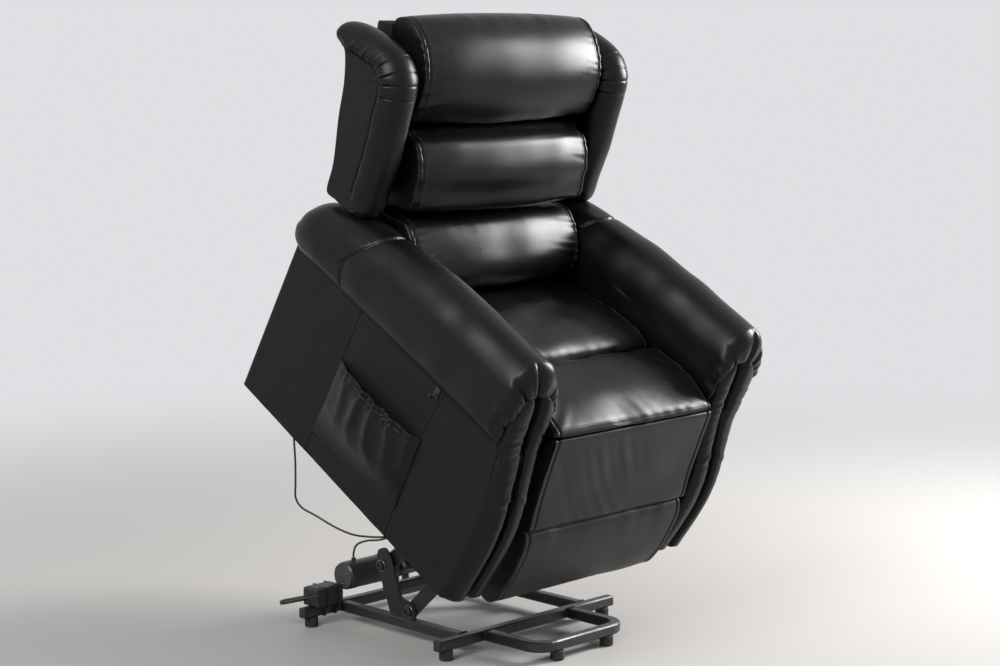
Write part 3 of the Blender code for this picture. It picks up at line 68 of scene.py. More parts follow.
FADE_START, FADE_END = 0.7, 4.2  # distance from the chair over which the floor turns into backdrop


def linked(name, data):
    """A new object with this data, in the scene."""
    obj = bpy.data.objects.new(name, data)
    bpy.context.scene.collection.objects.link(obj)
    return obj


def direction_to(azimuth, elevation):
    """The unit vector from the chair to a place at this azimuth and elevation."""
    return Vector((math.sin(azimuth) * math.cos(elevation), -math.cos(azimuth) * math.cos(elevation),
                   math.sin(elevation)))


camera_data = bpy.data.cameras.new("camera")
camera_data.lens = 80.0
camera_data.sensor_width = 36.0
camera = linked("camera", camera_data)
camera_back = direction_to(CAMERA_AZIMUTH, CAMERA_ELEVATION)
camera_right = Vector((math.cos(CAMERA_AZIMUTH), math.sin(CAMERA_AZIMUTH), 0.0))
camera_up = camera_back.cross(camera_right)
camera_turn = Matrix((camera_right, camera_up, camera_back)).transposed().to_4x4()
camera.matrix_world = Matrix.Translation(CAMERA_PLACE) @ camera_turn
bpy.context.scene.camera = camera
bpy.context.scene.view_settings.view_transform = "Standard"


def new_material(name):
    """A Principled material with its node tree and its shader."""
    made = bpy.data.materials.new(name)
    made.use_nodes = True
    return made, made.node_tree, made.node_tree.nodes["Principled BSDF"]


def add_node(tree, kind, inputs=(), **options):
    """Add a node; inputs pairs each socket with a plain value or with the output to link to it."""
    node = tree.nodes.new(kind)
    for option, value in options.items():
        setattr(node, option, value)
    for socket, value in inputs:
        if isinstance(value, bpy.types.NodeSocket):
            tree.links.new(value, node.inputs[socket])
        else:
            node.inputs[socket].default_value = value
    return node


def watched(tree):
    """1 for rays that see the backdrop directly, in a mirror or through glass."""
    path = tree.nodes.new("ShaderNodeLightPath")
    seen = path.outputs["Is Camera Ray"]
    for kind in ("Is Glossy Ray", "Is Transmission Ray"):
        seen = add_node(tree, "ShaderNodeMath", ((0, seen), (1, path.outputs[kind])),
                        operation="MAXIMUM").outputs[0]
    return seen


def fade_floor(tree, shader):
    """Let the floor pass into the backdrop far from the chair, so that no horizon line shows."""
    place = tree.nodes.new("ShaderNodeTexCoord")
    reach = add_node(tree, "ShaderNodeVectorMath", ((0, place.outputs["Object"]),), operation="LENGTH")
    far = add_node(tree, "ShaderNodeMapRange",
                   (("From Min", FADE_START), ("From Max", FADE_END), ("Value", reach.outputs["Value"])),
                   interpolation_type="SMOOTHERSTEP")
    share = add_node(tree, "ShaderNodeMath", ((0, far.outputs[0]), (1, watched(tree))), operation="MULTIPLY")
    glow = add_node(tree, "ShaderNodeEmission", (("Color", BACKDROP),))
    mix = add_node(tree, "ShaderNodeMixShader",
                   ((0, share.outputs[0]), (1, shader.outputs[0]), (2, glow.outputs[0])))
    tree.links.new(mix.outputs[0], tree.nodes["Material Output"].inputs["Surface"])


floor_mesh = bpy.data.meshes.new("floor")
floor_bm = bmesh.new()
bmesh.ops.create_circle(floor_bm, cap_ends=True, radius=30.0, segments=64)
floor_bm.to_mesh(floor_mesh)
floor_bm.free()
floor = linked("floor", floor_mesh)
floor.location.z = -0.0005
floor_material, floor_tree, floor_shader = new_material("floor_paint")
floor_shader.inputs["Base Color"].default_value = FLOOR_COLOUR
floor_shader.inputs["Roughness"].default_value = 0.55
floor_shader.inputs["Specular IOR Level"].default_value = 0.25
floor_mesh.materials.append(floor_material)
fade_floor(floor_tree, floor_shader)

world = bpy.data.worlds.new("studio")
world.use_nodes = True
bpy.context.scene.world = world
world_tree = world.node_tree
daylight = world_tree.nodes["Background"]
daylight.inputs["Color"].default_value = (0.93, 0.95, 1.0, 1.0)
daylight.inputs["Strength"].default_value = 0.34
backdrop = add_node(world_tree, "ShaderNodeBackground", (("Color", BACKDROP),))
world_mix = add_node(world_tree, "ShaderNodeMixShader",
                     ((0, watched(world_tree)), (1, daylight.outputs[0]), (2, backdrop.outputs[0])))
world_tree.links.new(world_mix.outputs[0], world_tree.nodes["World Output"].inputs[0])


def softbox(name, azimuth, elevation, distance, size, power):
    """A rectangular area lamp that looks at the middle of the chair."""
    lamp = bpy.data.lights.new(name, "AREA")
    lamp.shape = "RECTANGLE"
    lamp.size, lamp.size_y = size
    lamp.energy = power
    back = direction_to(math.radians(azimuth), math.radians(elevation))
    obj = linked(name, lamp)
    obj.location = LAMP_AIM + back * distance
    obj.rotation_euler = back.to_track_quat("Z", "Y").to_euler()


softbox("tall_window", 67.0, 21.0, 3.8, (1.05, 1.8), 255.0)
softbox("left_fill", -80.0, 34.0, 4.4, (2.2, 1.8), 125.0)


# ---------------------------------------------------------------------------------------------
# Control cord and lead hank.  Thin round PVC leads: one hangs from the left arm's underside and
# loops over the bracket to the motor; the spare length of the other is folded beside its box.
# ---------------------------------------------------------------------------------------------
BASE_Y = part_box("front_cross_tube")[0][1]  # the front face of the front cross tube
CORD_DIAMETER = 0.005
HANK_CABLE = 0.0034


def grain_height(group, kind, vector, scale):
    """The grain's height: plain fine noise, or for hide the crowns between fine creases."""
    fine = add_node(group, "ShaderNodeTexNoise", (("Detail", 3.0), ("Vector", vector), ("Scale", scale)))
    if kind == "fine":
        return fine.outputs["Fac"]
    warp = add_node(group, "ShaderNodeVectorMath",
                    ((0, fine.outputs["Color"]), (1, (0.0012, 0.0012, 0.0012)), (2, vector)),
                    operation="MULTIPLY_ADD")
    cells = add_node(group, "ShaderNodeTexVoronoi", (("Vector", warp.outputs[0]), ("Scale", scale)),
                     feature="DISTANCE_TO_EDGE")
    crown = add_node(group, "ShaderNodeMapRange", (("From Max", 0.22), ("Value", cells.outputs["Distance"])),
                     interpolation_type="SMOOTHSTEP")
    blend = add_node(group, "ShaderNodeMath", ((0, fine.outputs["Fac"]), (1, 0.35), (2, crown.outputs[0])),
                     operation="MULTIPLY_ADD")
    return blend.outputs[0]


def grain_group(name, kind):
    """Shader group: a fine surface grain as a normal, and a slow mask for uneven gloss."""
    group = bpy.data.node_groups.new(name, "ShaderNodeTree")
    group.interface.new_socket("Vector", in_out="INPUT", socket_type="NodeSocketVector")
    for socket, value in (("Scale", 400.0), ("Depth", 0.0002)):
        made = group.interface.new_socket(socket, in_out="INPUT", socket_type="NodeSocketFloat")
        made.default_value = value
    group.interface.new_socket("Normal", in_out="OUTPUT", socket_type="NodeSocketVector")
    group.interface.new_socket("Mask", in_out="OUTPUT", socket_type="NodeSocketFloat")
    given = group.nodes.new("NodeGroupInput").outputs
    height = grain_height(group, kind, given["Vector"], given["Scale"])
    bump = add_node(group, "ShaderNodeBump",
                    (("Strength", 0.6), ("Height", height), ("Distance", given["Depth"])))
    slow = add_node(group, "ShaderNodeTexNoise",
                    (("Scale", 9.0), ("Detail", 5.0), ("Roughness", 0.62), ("Vector", given["Vector"])))
    add_node(group, "NodeGroupOutput", (("Normal", bump.outputs["Normal"]), ("Mask", slow.outputs["Fac"])))
    return group


FINE_GRAIN = grain_group("fine_grain", "fine")


def surface(name, grain, scale, depth, roughness, tones, metallic=0.0, specular=0.5):
    """A material with a grain's normal, whose mask moves it between two roughnesses and two colours."""
    made, tree, shader = new_material(name)
    shader.inputs["Metallic"].default_value = metallic
    shader.inputs["Specular IOR Level"].default_value = specular
    place = tree.nodes.new("ShaderNodeTexCoord")
    texture = add_node(tree, "ShaderNodeGroup",
                       (("Scale", scale), ("Depth", depth), ("Vector", place.outputs["Object"])),
                       node_tree=grain)
    mask = texture.outputs["Mask"]
    gloss = add_node(tree, "ShaderNodeMapRange",
                     (("From Min", 0.30), ("From Max", 0.70), ("To Min", roughness[0]),
                      ("To Max", roughness[1]), ("Value", mask)))
    tone = add_node(tree, "ShaderNodeMix",
                    (("A", (*tones[0], 1.0)), ("B", (*tones[1], 1.0)), ("Factor", mask)), data_type="RGBA")
    tree.links.new(texture.outputs["Normal"], shader.inputs["Normal"])
    tree.links.new(gloss.outputs[0], shader.inputs["Roughness"])
    tree.links.new(tone.outputs["Result"], shader.inputs["Base Color"])
    return made


def grey(low, high):
    return (low, low, low), (high, high, high)


cable_jacket = surface("cable_jacket", FINE_GRAIN, 900.0, 0.00005, (0.36, 0.50), grey(0.009, 0.018))


def spline_point(p0, p1, p2, p3, t):
    """The point at t on the smooth curve from p1 to p2."""
    return 0.5 * (2 * p1 + (p2 - p0) * t + (2 * p0 - 5 * p1 + 4 * p2 - p3) * t * t
                  + (3 * p1 - p0 - 3 * p2 + p3) * t ** 3)


def smooth_path(points, step):
    """An open curve through the points with a vertex about every step."""
    points = [Vector(p) for p in points]
    padded = [2 * points[0] - points[1], *points, 2 * points[-1] - points[-2]]
    out = [points[0]]
    for i in range(1, len(padded) - 2):
        near = padded[i - 1 : i + 3]
        pieces = max(1, round((near[2] - near[1]).length / step))
        out += [spline_point(*near, k / pieces) for k in range(1, pieces + 1)]
    return out


def mesh_piece(name, verts, faces, material, body, sharp=None, turn_out=True):
    """A smooth mesh that rides a body; edges bent by more than sharp degrees stay crisp."""
    mesh = bpy.data.meshes.new(name)
    mesh.from_pydata(verts, [], faces)
    if turn_out:
        bm = bmesh.new()
        bm.from_mesh(mesh)
        bmesh.ops.recalc_face_normals(bm, faces=bm.faces)
        bm.to_mesh(mesh)
        bm.free()
    mesh.shade_smooth()
    if sharp:
        mesh.set_sharp_from_angle(angle=math.radians(sharp))
    mesh.materials.append(material)
    obj = linked(name, mesh)
    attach(obj, body)
    return obj


def circle(centre, side, other, radius, count):
    angles = [2 * math.pi * i / count for i in range(count)]
    return [centre + (side * math.cos(a) + other * math.sin(a)) * radius for a in angles]


def round_piece(name, rings, material, body, sharp, turn_out=True):
    """A closed skin over rings of points, with a flat cap at both ends."""
    sides = len(rings[0])
    faces = []
    for start in range(0, (len(rings) - 1) * sides, sides):
        for c in range(sides):
            d = (c + 1) % sides
            faces.append((start + c, start + d, start + sides + d, start + sides + c))
    faces.append(tuple(range(sides))[::-1])
    faces.append(tuple(range((len(rings) - 1) * sides, len(rings) * sides)))
    verts = [vert for ring in rings for vert in ring]
    return mesh_piece(name, verts, faces, material, body, sharp, turn_out)


def cable(name, points, diameter, sides=14):
    """A round lead swept along points, its section carried along without twisting."""
    side = (points[1] - points[0]).normalized().orthogonal().normalized()
    rings = []
    for k, point in enumerate(points):
        ahead = (points[min(k + 1, len(points) - 1)] - points[max(k - 1, 0)]).normalized()
        side = (side - ahead * side.dot(ahead)).normalized()
        rings.append(circle(point, side, ahead.cross(side), diameter / 2, sides))
    return round_piece(name, rings, cable_jacket, "base", 60.0, turn_out=False)


CORD_ROUTE = [
    (-0.292, 0.520, 0.6440), (-0.292, 0.520, 0.560), (-0.291, 0.521, 0.470), (-0.288, 0.520, 0.400),
    (-0.283, 0.526, 0.345), (-0.278, 0.532, 0.305), (-0.272, 0.516, 0.282), (-0.262, 0.474, 0.266),
    (-0.250, 0.418, 0.245), (-0.238, 0.366, 0.233), (-0.224, 0.318, 0.233), (-0.204, 0.294, 0.233),
    (-0.182, 0.306, 0.226), (-0.168, 0.350, 0.211), (-0.1655, 0.400, 0.200), (-0.165, 0.436, 0.184),
]
MOTOR_LOW, MOTOR_HIGH = (Vector(p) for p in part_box("lift_motor"))
MOTOR_Y = (MOTOR_LOW.y + MOTOR_HIGH.y) / 2
GLAND_TOP = Vector((-0.165, MOTOR_Y, MOTOR_HIGH.z + 0.0003))
cord_points = [Vector((x, y + BASE_Y, z)) for x, y, z in CORD_ROUTE]
cord_points += [GLAND_TOP + Vector((0.0, 0.0, 0.012)), GLAND_TOP]
cord_line = smooth_path(cord_points, 0.005)
control_cord = cable("control_cord_lead", cord_line, CORD_DIAMETER)
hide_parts("control_cord")
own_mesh(control_cord)

POWER_LOW, POWER_HIGH = (Vector(p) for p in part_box("power_box"))
HANK_TURNS = 3.5
HANK_REACH = 0.027  # half the length of the innermost turn
HANK_BREADTH = 0.0070  # half its breadth
HANK_STEPS = 36


def squared(value):
    """Push a sine or cosine outwards, so that a loop's ends are blunter than a circle's."""
    return math.copysign(abs(value) ** 0.8, value)


def hank_line():
    """The folded lead: flat turns that wind in, climb a layer and wind out again."""
    pitch = HANK_CABLE + 0.0022
    rise = HANK_CABLE + 0.0014
    box_end = POWER_LOW.x
    rear_tube_low, rear_tube_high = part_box("rear_cross_tube")
    centre = Vector((box_end - 0.032, (rear_tube_low[1] + rear_tube_high[1]) / 2 + 0.020,
                     rear_tube_high[2] + 0.017))
    heading = Vector((-0.66, 0.72, -0.20)).normalized()
    across = Vector((0, 0, 1)).cross(heading).normalized()
    above = heading.cross(across)
    inner_turns = HANK_TURNS / 2
    points = []
    for i in range(round(HANK_TURNS * HANK_STEPS) + 1):
        turn = i / HANK_STEPS
        out = abs(inner_turns - turn)
        climb = min(1.0, max(0.0, (turn - inner_turns) * 2 + 0.5))
        angle = 2 * math.pi * turn - math.pi / 2
        run, bow = math.cos(angle), math.sin(angle)
        waist = 1.0 - 0.16 * (1.0 - run * run) ** 4
        points.append(centre + heading * (HANK_REACH + out * pitch) * squared(run)
                      + across * (HANK_BREADTH + out * pitch) * waist * squared(bow) + above * climb * rise)
    slant = HANK_CABLE / 2 * math.sqrt(1 - heading.x ** 2)
    for end in (0, -1):
        step = (box_end - 0.0003 - slant - points[end].x) / heading.x
        lead = [points[end] + heading * step * k / 4 for k in (1, 2, 3, 4)]
        points = lead[::-1] + points if end == 0 else points + lead
    return points


hank_points = hank_line()
hank = cable("lead_hank_cable", hank_points, HANK_CABLE)
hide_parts("lead_hank")


# ---------------------------------------------------------------------------------------------
# Base frame.  Square steel tube, welded and powder coated in satin black, with turned rubber
# feet pressed into its underside and plastic plugs in the open tube ends.
# ---------------------------------------------------------------------------------------------
SIDES = (("left", -1), ("right", 1))
powder_coat = surface("powder_coat", FINE_GRAIN, 1100.0, 0.00012, (0.30, 0.46),
                      ((0.009, 0.009, 0.010), (0.022, 0.022, 0.024)))
foot_rubber = surface("foot_rubber", FINE_GRAIN, 700.0, 0.0002, (0.66, 0.85),
                      ((0.010, 0.010, 0.010), (0.024, 0.023, 0.021)))
plug_plastic = surface("plug_plastic", FINE_GRAIN, 1500.0, 0.00008, (0.42, 0.58), grey(0.010, 0.020))


def show_nodes(names, material):
    """Give CAD nodes that keep their shape their real finish."""
    for name in names:
        for slot in bpy.data.objects[name].material_slots:
            slot.material = material


show_nodes(("front_cross_tube", "rear_cross_tube", "side_rail_left", "side_rail_right", "front_loop",
            "bracket_tie_tube", "lift_torque_tube", "lift_cross_tube"), powder_coat)
show_nodes([f"foot_{where}_{side}" for where in ("front", "rear", "loop") for side, _ in SIDES], foot_rubber)


def rounded_block(name, low, high, edge, material, body):
    """A block with rounded edges between two corners."""
    bm = bmesh.new()
    bmesh.ops.create_cube(bm, size=1.0)
    middle = (Vector(low) + Vector(high)) / 2
    size = Vector(high) - Vector(low)
    for vert in bm.verts:
        vert.co = middle + Vector((vert.co.x * size.x, vert.co.y * size.y, vert.co.z * size.z))
    bmesh.ops.bevel(bm, geom=list(bm.edges), offset=edge, segments=3, profile=0.5, affect="EDGES")
    bm.verts.index_update()
    verts = [vert.co.copy() for vert in bm.verts]
    faces = [[vert.index for vert in face.verts] for face in bm.faces]
    bm.free()
    return mesh_piece(name, verts, faces, material, body, 50.0, turn_out=False)


PLUG_STANDS = 0.0022
PLUG_INSET = 0.0012
for tube in ("front_cross_tube", "rear_cross_tube"):
    low, high = (Vector(p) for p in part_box(tube))
    for side, sign in SIDES:
        end = high.x if sign > 0 else low.x
        near, far = sorted((end - sign * 0.0005, end + sign * PLUG_STANDS))
        rounded_block(f"{tube}_plug_{side}", (near, low.y + PLUG_INSET, low.z + PLUG_INSET),
                      (far, high.y - PLUG_INSET, high.z - PLUG_INSET), 0.0010, plug_plastic, "base")

WELD_RADIUS = 0.0024


def weld_bead(name, path, seed):
    """A run of overlapping weld ripples along a path of points."""
    rng = np.random.default_rng(seed)
    curve = bpy.data.curves.new(name, "CURVE")
    curve.dimensions = "3D"
    curve.bevel_depth = WELD_RADIUS
    curve.bevel_resolution = 2
    curve.use_fill_caps = True
    line = smooth_path(path, 0.0012)
    spline = curve.splines.new("POLY")
    spline.points.add(len(line) - 1)
    for k, (slot, point) in enumerate(zip(spline.points, line)):
        slot.co = (*point, 1.0)
        slot.radius = 0.82 + 0.22 * math.sin(k * 1.9) + 0.08 * rng.uniform(-1, 1)
    curve.materials.append(powder_coat)
    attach(linked(name, curve), "base")


def weld_round(name, y, low, high, seed):
    """A weld bead over the top and the two sides of a tube that butts against a cross tube."""
    weld_bead(name, [(low.x - 0.0006, y, low.z + 0.003), (low.x - 0.0006, y, high.z - 0.002),
                     (low.x + 0.002, y, high.z + 0.0004), ((low.x + high.x) / 2, y, high.z + 0.0006),
                     (high.x - 0.002, y, high.z + 0.0004), (high.x + 0.0006, y, high.z - 0.002),
                     (high.x + 0.0006, y, low.z + 0.003)], seed)


WELD_INSET = 0.0006  # from the tube's cut end to the middle of its bead
for index, (side, _) in enumerate(SIDES):
    low, high = (Vector(p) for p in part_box(f"side_rail_{side}"))
    weld_round(f"weld_rail_front_{side}", low.y + WELD_INSET, low, high, 10 + index)
    weld_round(f"weld_rail_rear_{side}", high.y - WELD_INSET, low, high, 20 + index)
loop_low, loop_high = (Vector(p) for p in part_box("front_loop"))
LOOP_TUBE = loop_high.z - loop_low.z
for index, x in enumerate((loop_low.x, loop_high.x - LOOP_TUBE)):
    x_end = loop_high.x if index else loop_low.x + LOOP_TUBE
    weld_round(f"weld_loop_{index}", loop_high.y - WELD_INSET, Vector((x, 0, loop_low.z)),
               Vector((x_end, 0, loop_high.z)), 30 + index)


# ---------------------------------------------------------------------------------------------
# Lift and footrest linkage.  Pressed steel strips and plates, painted dark; they turn on
# shoulder bolts with washers under their heads.
# ---------------------------------------------------------------------------------------------
link_paint = surface("link_paint", FINE_GRAIN, 650.0, 0.00010, (0.28, 0.50),
                     ((0.016, 0.016, 0.016), (0.045, 0.045, 0.047)), metallic=0.55)
bolt_steel = surface("bolt_steel", FINE_GRAIN, 900.0, 0.00006, (0.24, 0.44),
                     ((0.10, 0.10, 0.105), (0.26, 0.26, 0.27)), metallic=1.0)
LINKS = ("base_bracket", "rear_lift_link", "front_lift_link", "carriage_plate", "recline_arm",
         "footrest_upper_link", "footrest_lower_link")
show_nodes([f"{link}_{side}" for link in LINKS for side, _ in SIDES] + ["actuator_clevis"], link_paint)


def turned_piece(name, profile, origin, direction, material, body, segments=40):
    """Turn (radius, distance) points round an axis."""
    direction = Vector(direction).normalized()
    side = direction.orthogonal().normalized()
    other = direction.cross(side)
    rings = [circle(Vector(origin) + direction * along, side, other, radius, segments)
             for radius, along in profile]
    return round_piece(name, rings, material, body, 32.0)


def joint_place(name):
    """Where a joint of the record has its pivot."""
    joints = frame["record"]["behaviour"]["joints"]
    return Vector(next(joint["pos_m"] for joint in joints if joint["name"] == name))


BRACKET_OUT = 0.212  # outer face of the base brackets
WASHER = ((0.0104, 0.0), (0.0150, 0.0), (0.0152, 0.0004), (0.0152, 0.0016), (0.0147, 0.0021),
          (0.0104, 0.0021))
BOLT = ((0.0040, 0.0031), (0.0115, 0.0031), (0.0119, 0.0036), (0.0119, 0.0062), (0.0108, 0.0078),
        (0.0078, 0.0086), (0.0066, 0.0087), (0.0060, 0.0080), (0.0057, 0.0056), (0.0010, 0.0052))
for place, joint in (("rear_pivot", "lift"), ("front_pivot", "front_link_swing")):
    pivot = joint_place(joint)
    for side, sign in SIDES:
        start = Vector((sign * (BRACKET_OUT + 0.0001), pivot.y, pivot.z))
        turned_piece(f"{place}_washer_{side}", WASHER, start, (sign, 0, 0), bolt_steel, "base")
        turned_piece(f"{place}_bolt_{side}", BOLT, start, (sign, 0, 0), link_paint, "base")


# ---------------------------------------------------------------------------------------------
# Lift actuator.  A geared motor in a moulded black can, lying along the rear tube, drives a
# spindle inside a plastic tube; the bright rod pushes the seat up.
# ---------------------------------------------------------------------------------------------
can_plastic = surface("motor_can", FINE_GRAIN, 1200.0, 0.00006, (0.28, 0.42),
                      ((0.012, 0.012, 0.012), (0.024, 0.024, 0.026)))
rod_steel = surface("rod_steel", FINE_GRAIN, 1500.0, 0.00003, (0.12, 0.24),
                    ((0.55, 0.55, 0.56), (0.68, 0.68, 0.69)), metallic=1.0)
end_disc = surface("motor_end_disc", FINE_GRAIN, 900.0, 0.00006, (0.38, 0.55),
                   ((0.035, 0.035, 0.035), (0.075, 0.075, 0.08)))
show_nodes(("lift_motor", "actuator_gearbox", "spindle_tube"), can_plastic)
show_nodes(("lift_rod",), rod_steel)

MOTOR_RADIUS = (MOTOR_HIGH.y - MOTOR_LOW.y) / 2
motor_end = Vector((MOTOR_LOW.x, MOTOR_Y, MOTOR_LOW.z + MOTOR_RADIUS))
END_DISC = ((0.004, 0.0), (MOTOR_RADIUS - 0.0030, 0.0), (MOTOR_RADIUS - 0.0024, 0.0005),
            (MOTOR_RADIUS - 0.0024, 0.0014), (MOTOR_RADIUS - 0.0030, 0.0019), (MOTOR_RADIUS - 0.0042, 0.0013),
            (0.0090, 0.0013), (0.0084, 0.0018), (0.0040, 0.0020))
RIB = ((MOTOR_RADIUS - 0.001, 0.0), (MOTOR_RADIUS + 0.0009, 0.0008), (MOTOR_RADIUS + 0.0009, 0.0022),
       (MOTOR_RADIUS - 0.001, 0.0030))
SCREW = ((0.0008, 0.0), (0.0026, 0.0), (0.0026, 0.0012), (0.0020, 0.0019), (0.0008, 0.0015))
SCREW_CIRCLE = 0.019
turned_piece("motor_end_disc", END_DISC, motor_end + Vector((-0.0002, 0, 0)), (-1, 0, 0), end_disc,
             "actuator", 56)
for k, at in enumerate((0.012, 0.020, 0.028, 0.118, 0.126)):
    turned_piece(f"motor_rib_{k + 1}", RIB, motor_end + Vector((at, 0, 0)), (1, 0, 0), can_plastic,
                 "actuator", 56)
for k in range(3):
    angle = 2 * math.pi * k / 3 + 0.5
    at = motor_end + Vector((-0.0016, SCREW_CIRCLE * math.cos(angle), SCREW_CIRCLE * math.sin(angle)))
    turned_piece(f"motor_screw_{k + 1}", SCREW, at, (-1, 0, 0), bolt_steel, "actuator", 20)


# ---------------------------------------------------------------------------------------------
# Power box and ties.  The mains transformer in a moulded case, held on the rear tube by nylon
# cable ties whose tails are left long.
# ---------------------------------------------------------------------------------------------
LID_INSET = 0.006
show_nodes(("power_box",), plug_plastic)
show_nodes(("cable_tie_1", "cable_tie_2"), can_plastic)
rounded_block("power_box_lid", (POWER_LOW.x + LID_INSET, POWER_LOW.y + LID_INSET, POWER_HIGH.z - 0.0006),
              (POWER_HIGH.x - LID_INSET, POWER_HIGH.y - LID_INSET, POWER_HIGH.z + 0.0016), 0.0012,
              plug_plastic, "base")


# ---------------------------------------------------------------------------------------------
# Upholstery: how the soft surfaces are made.  Every cover is a fine lattice of points that is
# swelled, grooved at its seams and rumpled where the cloth is drawn together.
# ---------------------------------------------------------------------------------------------
TILT = math.radians(30.5)  # how far the raised chair leans forward
BODY_Y = -0.1064 + BASE_Y  # where the chair body's own origin lies
BODY_Z = 0.1914
HIDE_GRAIN = grain_group("hide_grain", "hide")

vinyl = surface("black_faux_leather", HIDE_GRAIN, 520.0, 0.00007, (0.26, 0.36),
                ((0.0030, 0.0031, 0.0034), (0.0058, 0.0059, 0.0064)), specular=0.22)
matt_vinyl = surface("matt_faux_leather", HIDE_GRAIN, 540.0, 0.00024, (0.44, 0.56),
                     ((0.0062, 0.0066, 0.0072), (0.0105, 0.0110, 0.0118)), specular=0.15)
foot_vinyl = surface("footrest_faux_leather", HIDE_GRAIN, 600.0, 0.00018, (0.29, 0.40),
                     ((0.0052, 0.0054, 0.0050), (0.0094, 0.0096, 0.0088)), specular=0.22)
thread = surface("black_thread", FINE_GRAIN, 3000.0, 0.0001, (0.5, 0.7), grey(0.014, 0.034))
lining = surface("black_dust_cloth", FINE_GRAIN, 1800.0, 0.0003, (0.84, 0.95), grey(0.009, 0.016))


def chair(x, y, z):
    """World points of the chair body's own coordinates: y back and z up as if it stood level."""
    x, y, z = np.broadcast_arrays(np.asarray(x, float), np.asarray(y, float), np.asarray(z, float))
    world_y = y * math.cos(TILT) - z * math.sin(TILT) + BODY_Y
    world_z = y * math.sin(TILT) + z * math.cos(TILT) + BODY_Z
    return np.stack([x, world_y, world_z], axis=-1)


def ripple(t, seed, wave):
    """A smooth irregular wave along t, within about one unit, with the given mean wavelength."""
    rng = np.random.default_rng(seed)
    t = np.asarray(t, float)
    total = np.zeros_like(t)
    for _ in range(6):
        total = total + rng.uniform(0.5, 1.0) * np.sin(
            2 * np.pi * rng.uniform(0.5, 1.8) / wave * t + rng.uniform(0, 2 * np.pi)
        )
    return total / 2.6


def crumple(a, b, seed, wave, squeeze=1.0):
    """Soft folds over two coordinates; squeeze below 1 stretches them along the second one."""
    rng = np.random.default_rng(seed)
    a, b = np.asarray(a, float), np.asarray(b, float) * squeeze
    total = 0.0
    for _ in range(7):
        turn = rng.uniform(0, np.pi)
        reach = rng.uniform(0.55, 1.7) / wave
        bend = 0.5 * np.sin(2 * np.pi * reach * 0.6 * (a * np.sin(turn) - b * np.cos(turn)))
        total = total + rng.uniform(0.5, 1.0) * np.sin(
            2 * np.pi * reach * (a * np.cos(turn) + b * np.sin(turn)) + rng.uniform(0, 2 * np.pi) + bend
        )
    return total / 2.9


def notch(distance, width):
    """1 at a seam, falling to 0 within about its width on both sides."""
    return np.exp(-((np.asarray(distance) / width) ** 2))


def ramp(distance, width):
    """0 up to zero distance, rising straight to 1 at the width."""
    return np.clip(distance / width, 0, 1)


def fading(distance, reach):
    """1 up to zero distance, dying away over the reach beyond it."""
    return np.exp(-np.maximum(0.0, distance) / reach)


def rounding(distance, radius):
    """The height of a quarter circle: 0 at zero distance, 1 from the radius on."""
    return math.sqrt(max(0.0, 1 - (1 - min(1.0, distance / radius)) ** 2))


def running(points, close=False):
    """The distance along a line of points at each of them."""
    line = np.vstack([points, points[:1]]) if close else points
    return np.concatenate([[0], np.cumsum(np.linalg.norm(np.diff(line, axis=0), axis=1))])


def loop_through(points, count):
    """A closed smooth curve through a few points, as count evenly spaced ones."""
    points = np.asarray(points, float)
    t = np.linspace(0, 1, 24, endpoint=False)[:, None]
    dense = np.concatenate([spline_point(*(points[(i + j - 1) % len(points)] for j in range(4)), t)
                            for i in range(len(points))])
    along = running(dense, close=True)
    marks = np.linspace(0, along[-1], count, endpoint=False)
    closed = np.vstack([dense, dense[:1]])
    return np.stack([np.interp(marks, along, closed[:, k]) for k in range(closed.shape[1])], axis=-1)


def outward(points):
    """Unit normals of a lattice that closes round its rows, pointing away from its middle."""
    down = np.gradient(points, axis=0)
    around = (np.roll(points, -1, axis=1) - np.roll(points, 1, axis=1)) / 2
    normal = np.cross(down, around)
    normal = normal / np.maximum(np.linalg.norm(normal, axis=-1, keepdims=True), 1e-9)
    middle = points.reshape(-1, 3).mean(axis=0)
    return -normal if np.sum(normal * (points - middle)) < 0 else normal


def cover(name, points, material, body, closed_ends=True):
    """The skin of a lattice whose rows are rings; closed ends are drawn to a point."""
    rows, columns = points.shape[:2]
    index = np.arange(rows * columns).reshape(rows, columns)
    a, b = index[:-1], index[1:]
    faces = np.stack([a, np.roll(a, -1, 1), np.roll(b, -1, 1), b], axis=-1).reshape(-1, 4).tolist()
    verts = points.reshape(-1, 3).tolist()
    for ring in (index[0], index[-1]) if closed_ends else ():
        faces.extend([int(ring[i]), int(ring[(i + 1) % columns]), len(verts)] for i in range(columns))
        verts.append(points.reshape(-1, 3)[ring].mean(axis=0).tolist())
    return mesh_piece(name, verts, faces, material, body)


def upholster(piece, node):
    """Let a padded vinyl cover take the place of its plain solid."""
    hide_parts(node)


STITCH_PITCH = 0.0052
STITCH_LENGTH = 0.0036
STITCH_RADIUS = 0.00055


def stitch_rings(centre, normal):
    """One stitch as four rings of five points: both of its ends dip into the cover."""
    heading = centre[-1] - centre[0]
    heading /= max(np.linalg.norm(heading), 1e-9)
    rings = []
    for m, (lift, wide) in enumerate(((-0.0004, 0.35), (0.0002, 1.0), (0.0002, 1.0), (-0.0004, 0.35))):
        across = np.cross(heading, normal[m])
        for c in range(5):
            angle = 2 * np.pi * c / 5
            level = centre[m] + normal[m] * (lift + math.sin(angle) * STITCH_RADIUS * wide)
            rings.append((level + across * math.cos(angle) * STITCH_RADIUS * wide).tolist())
    return rings


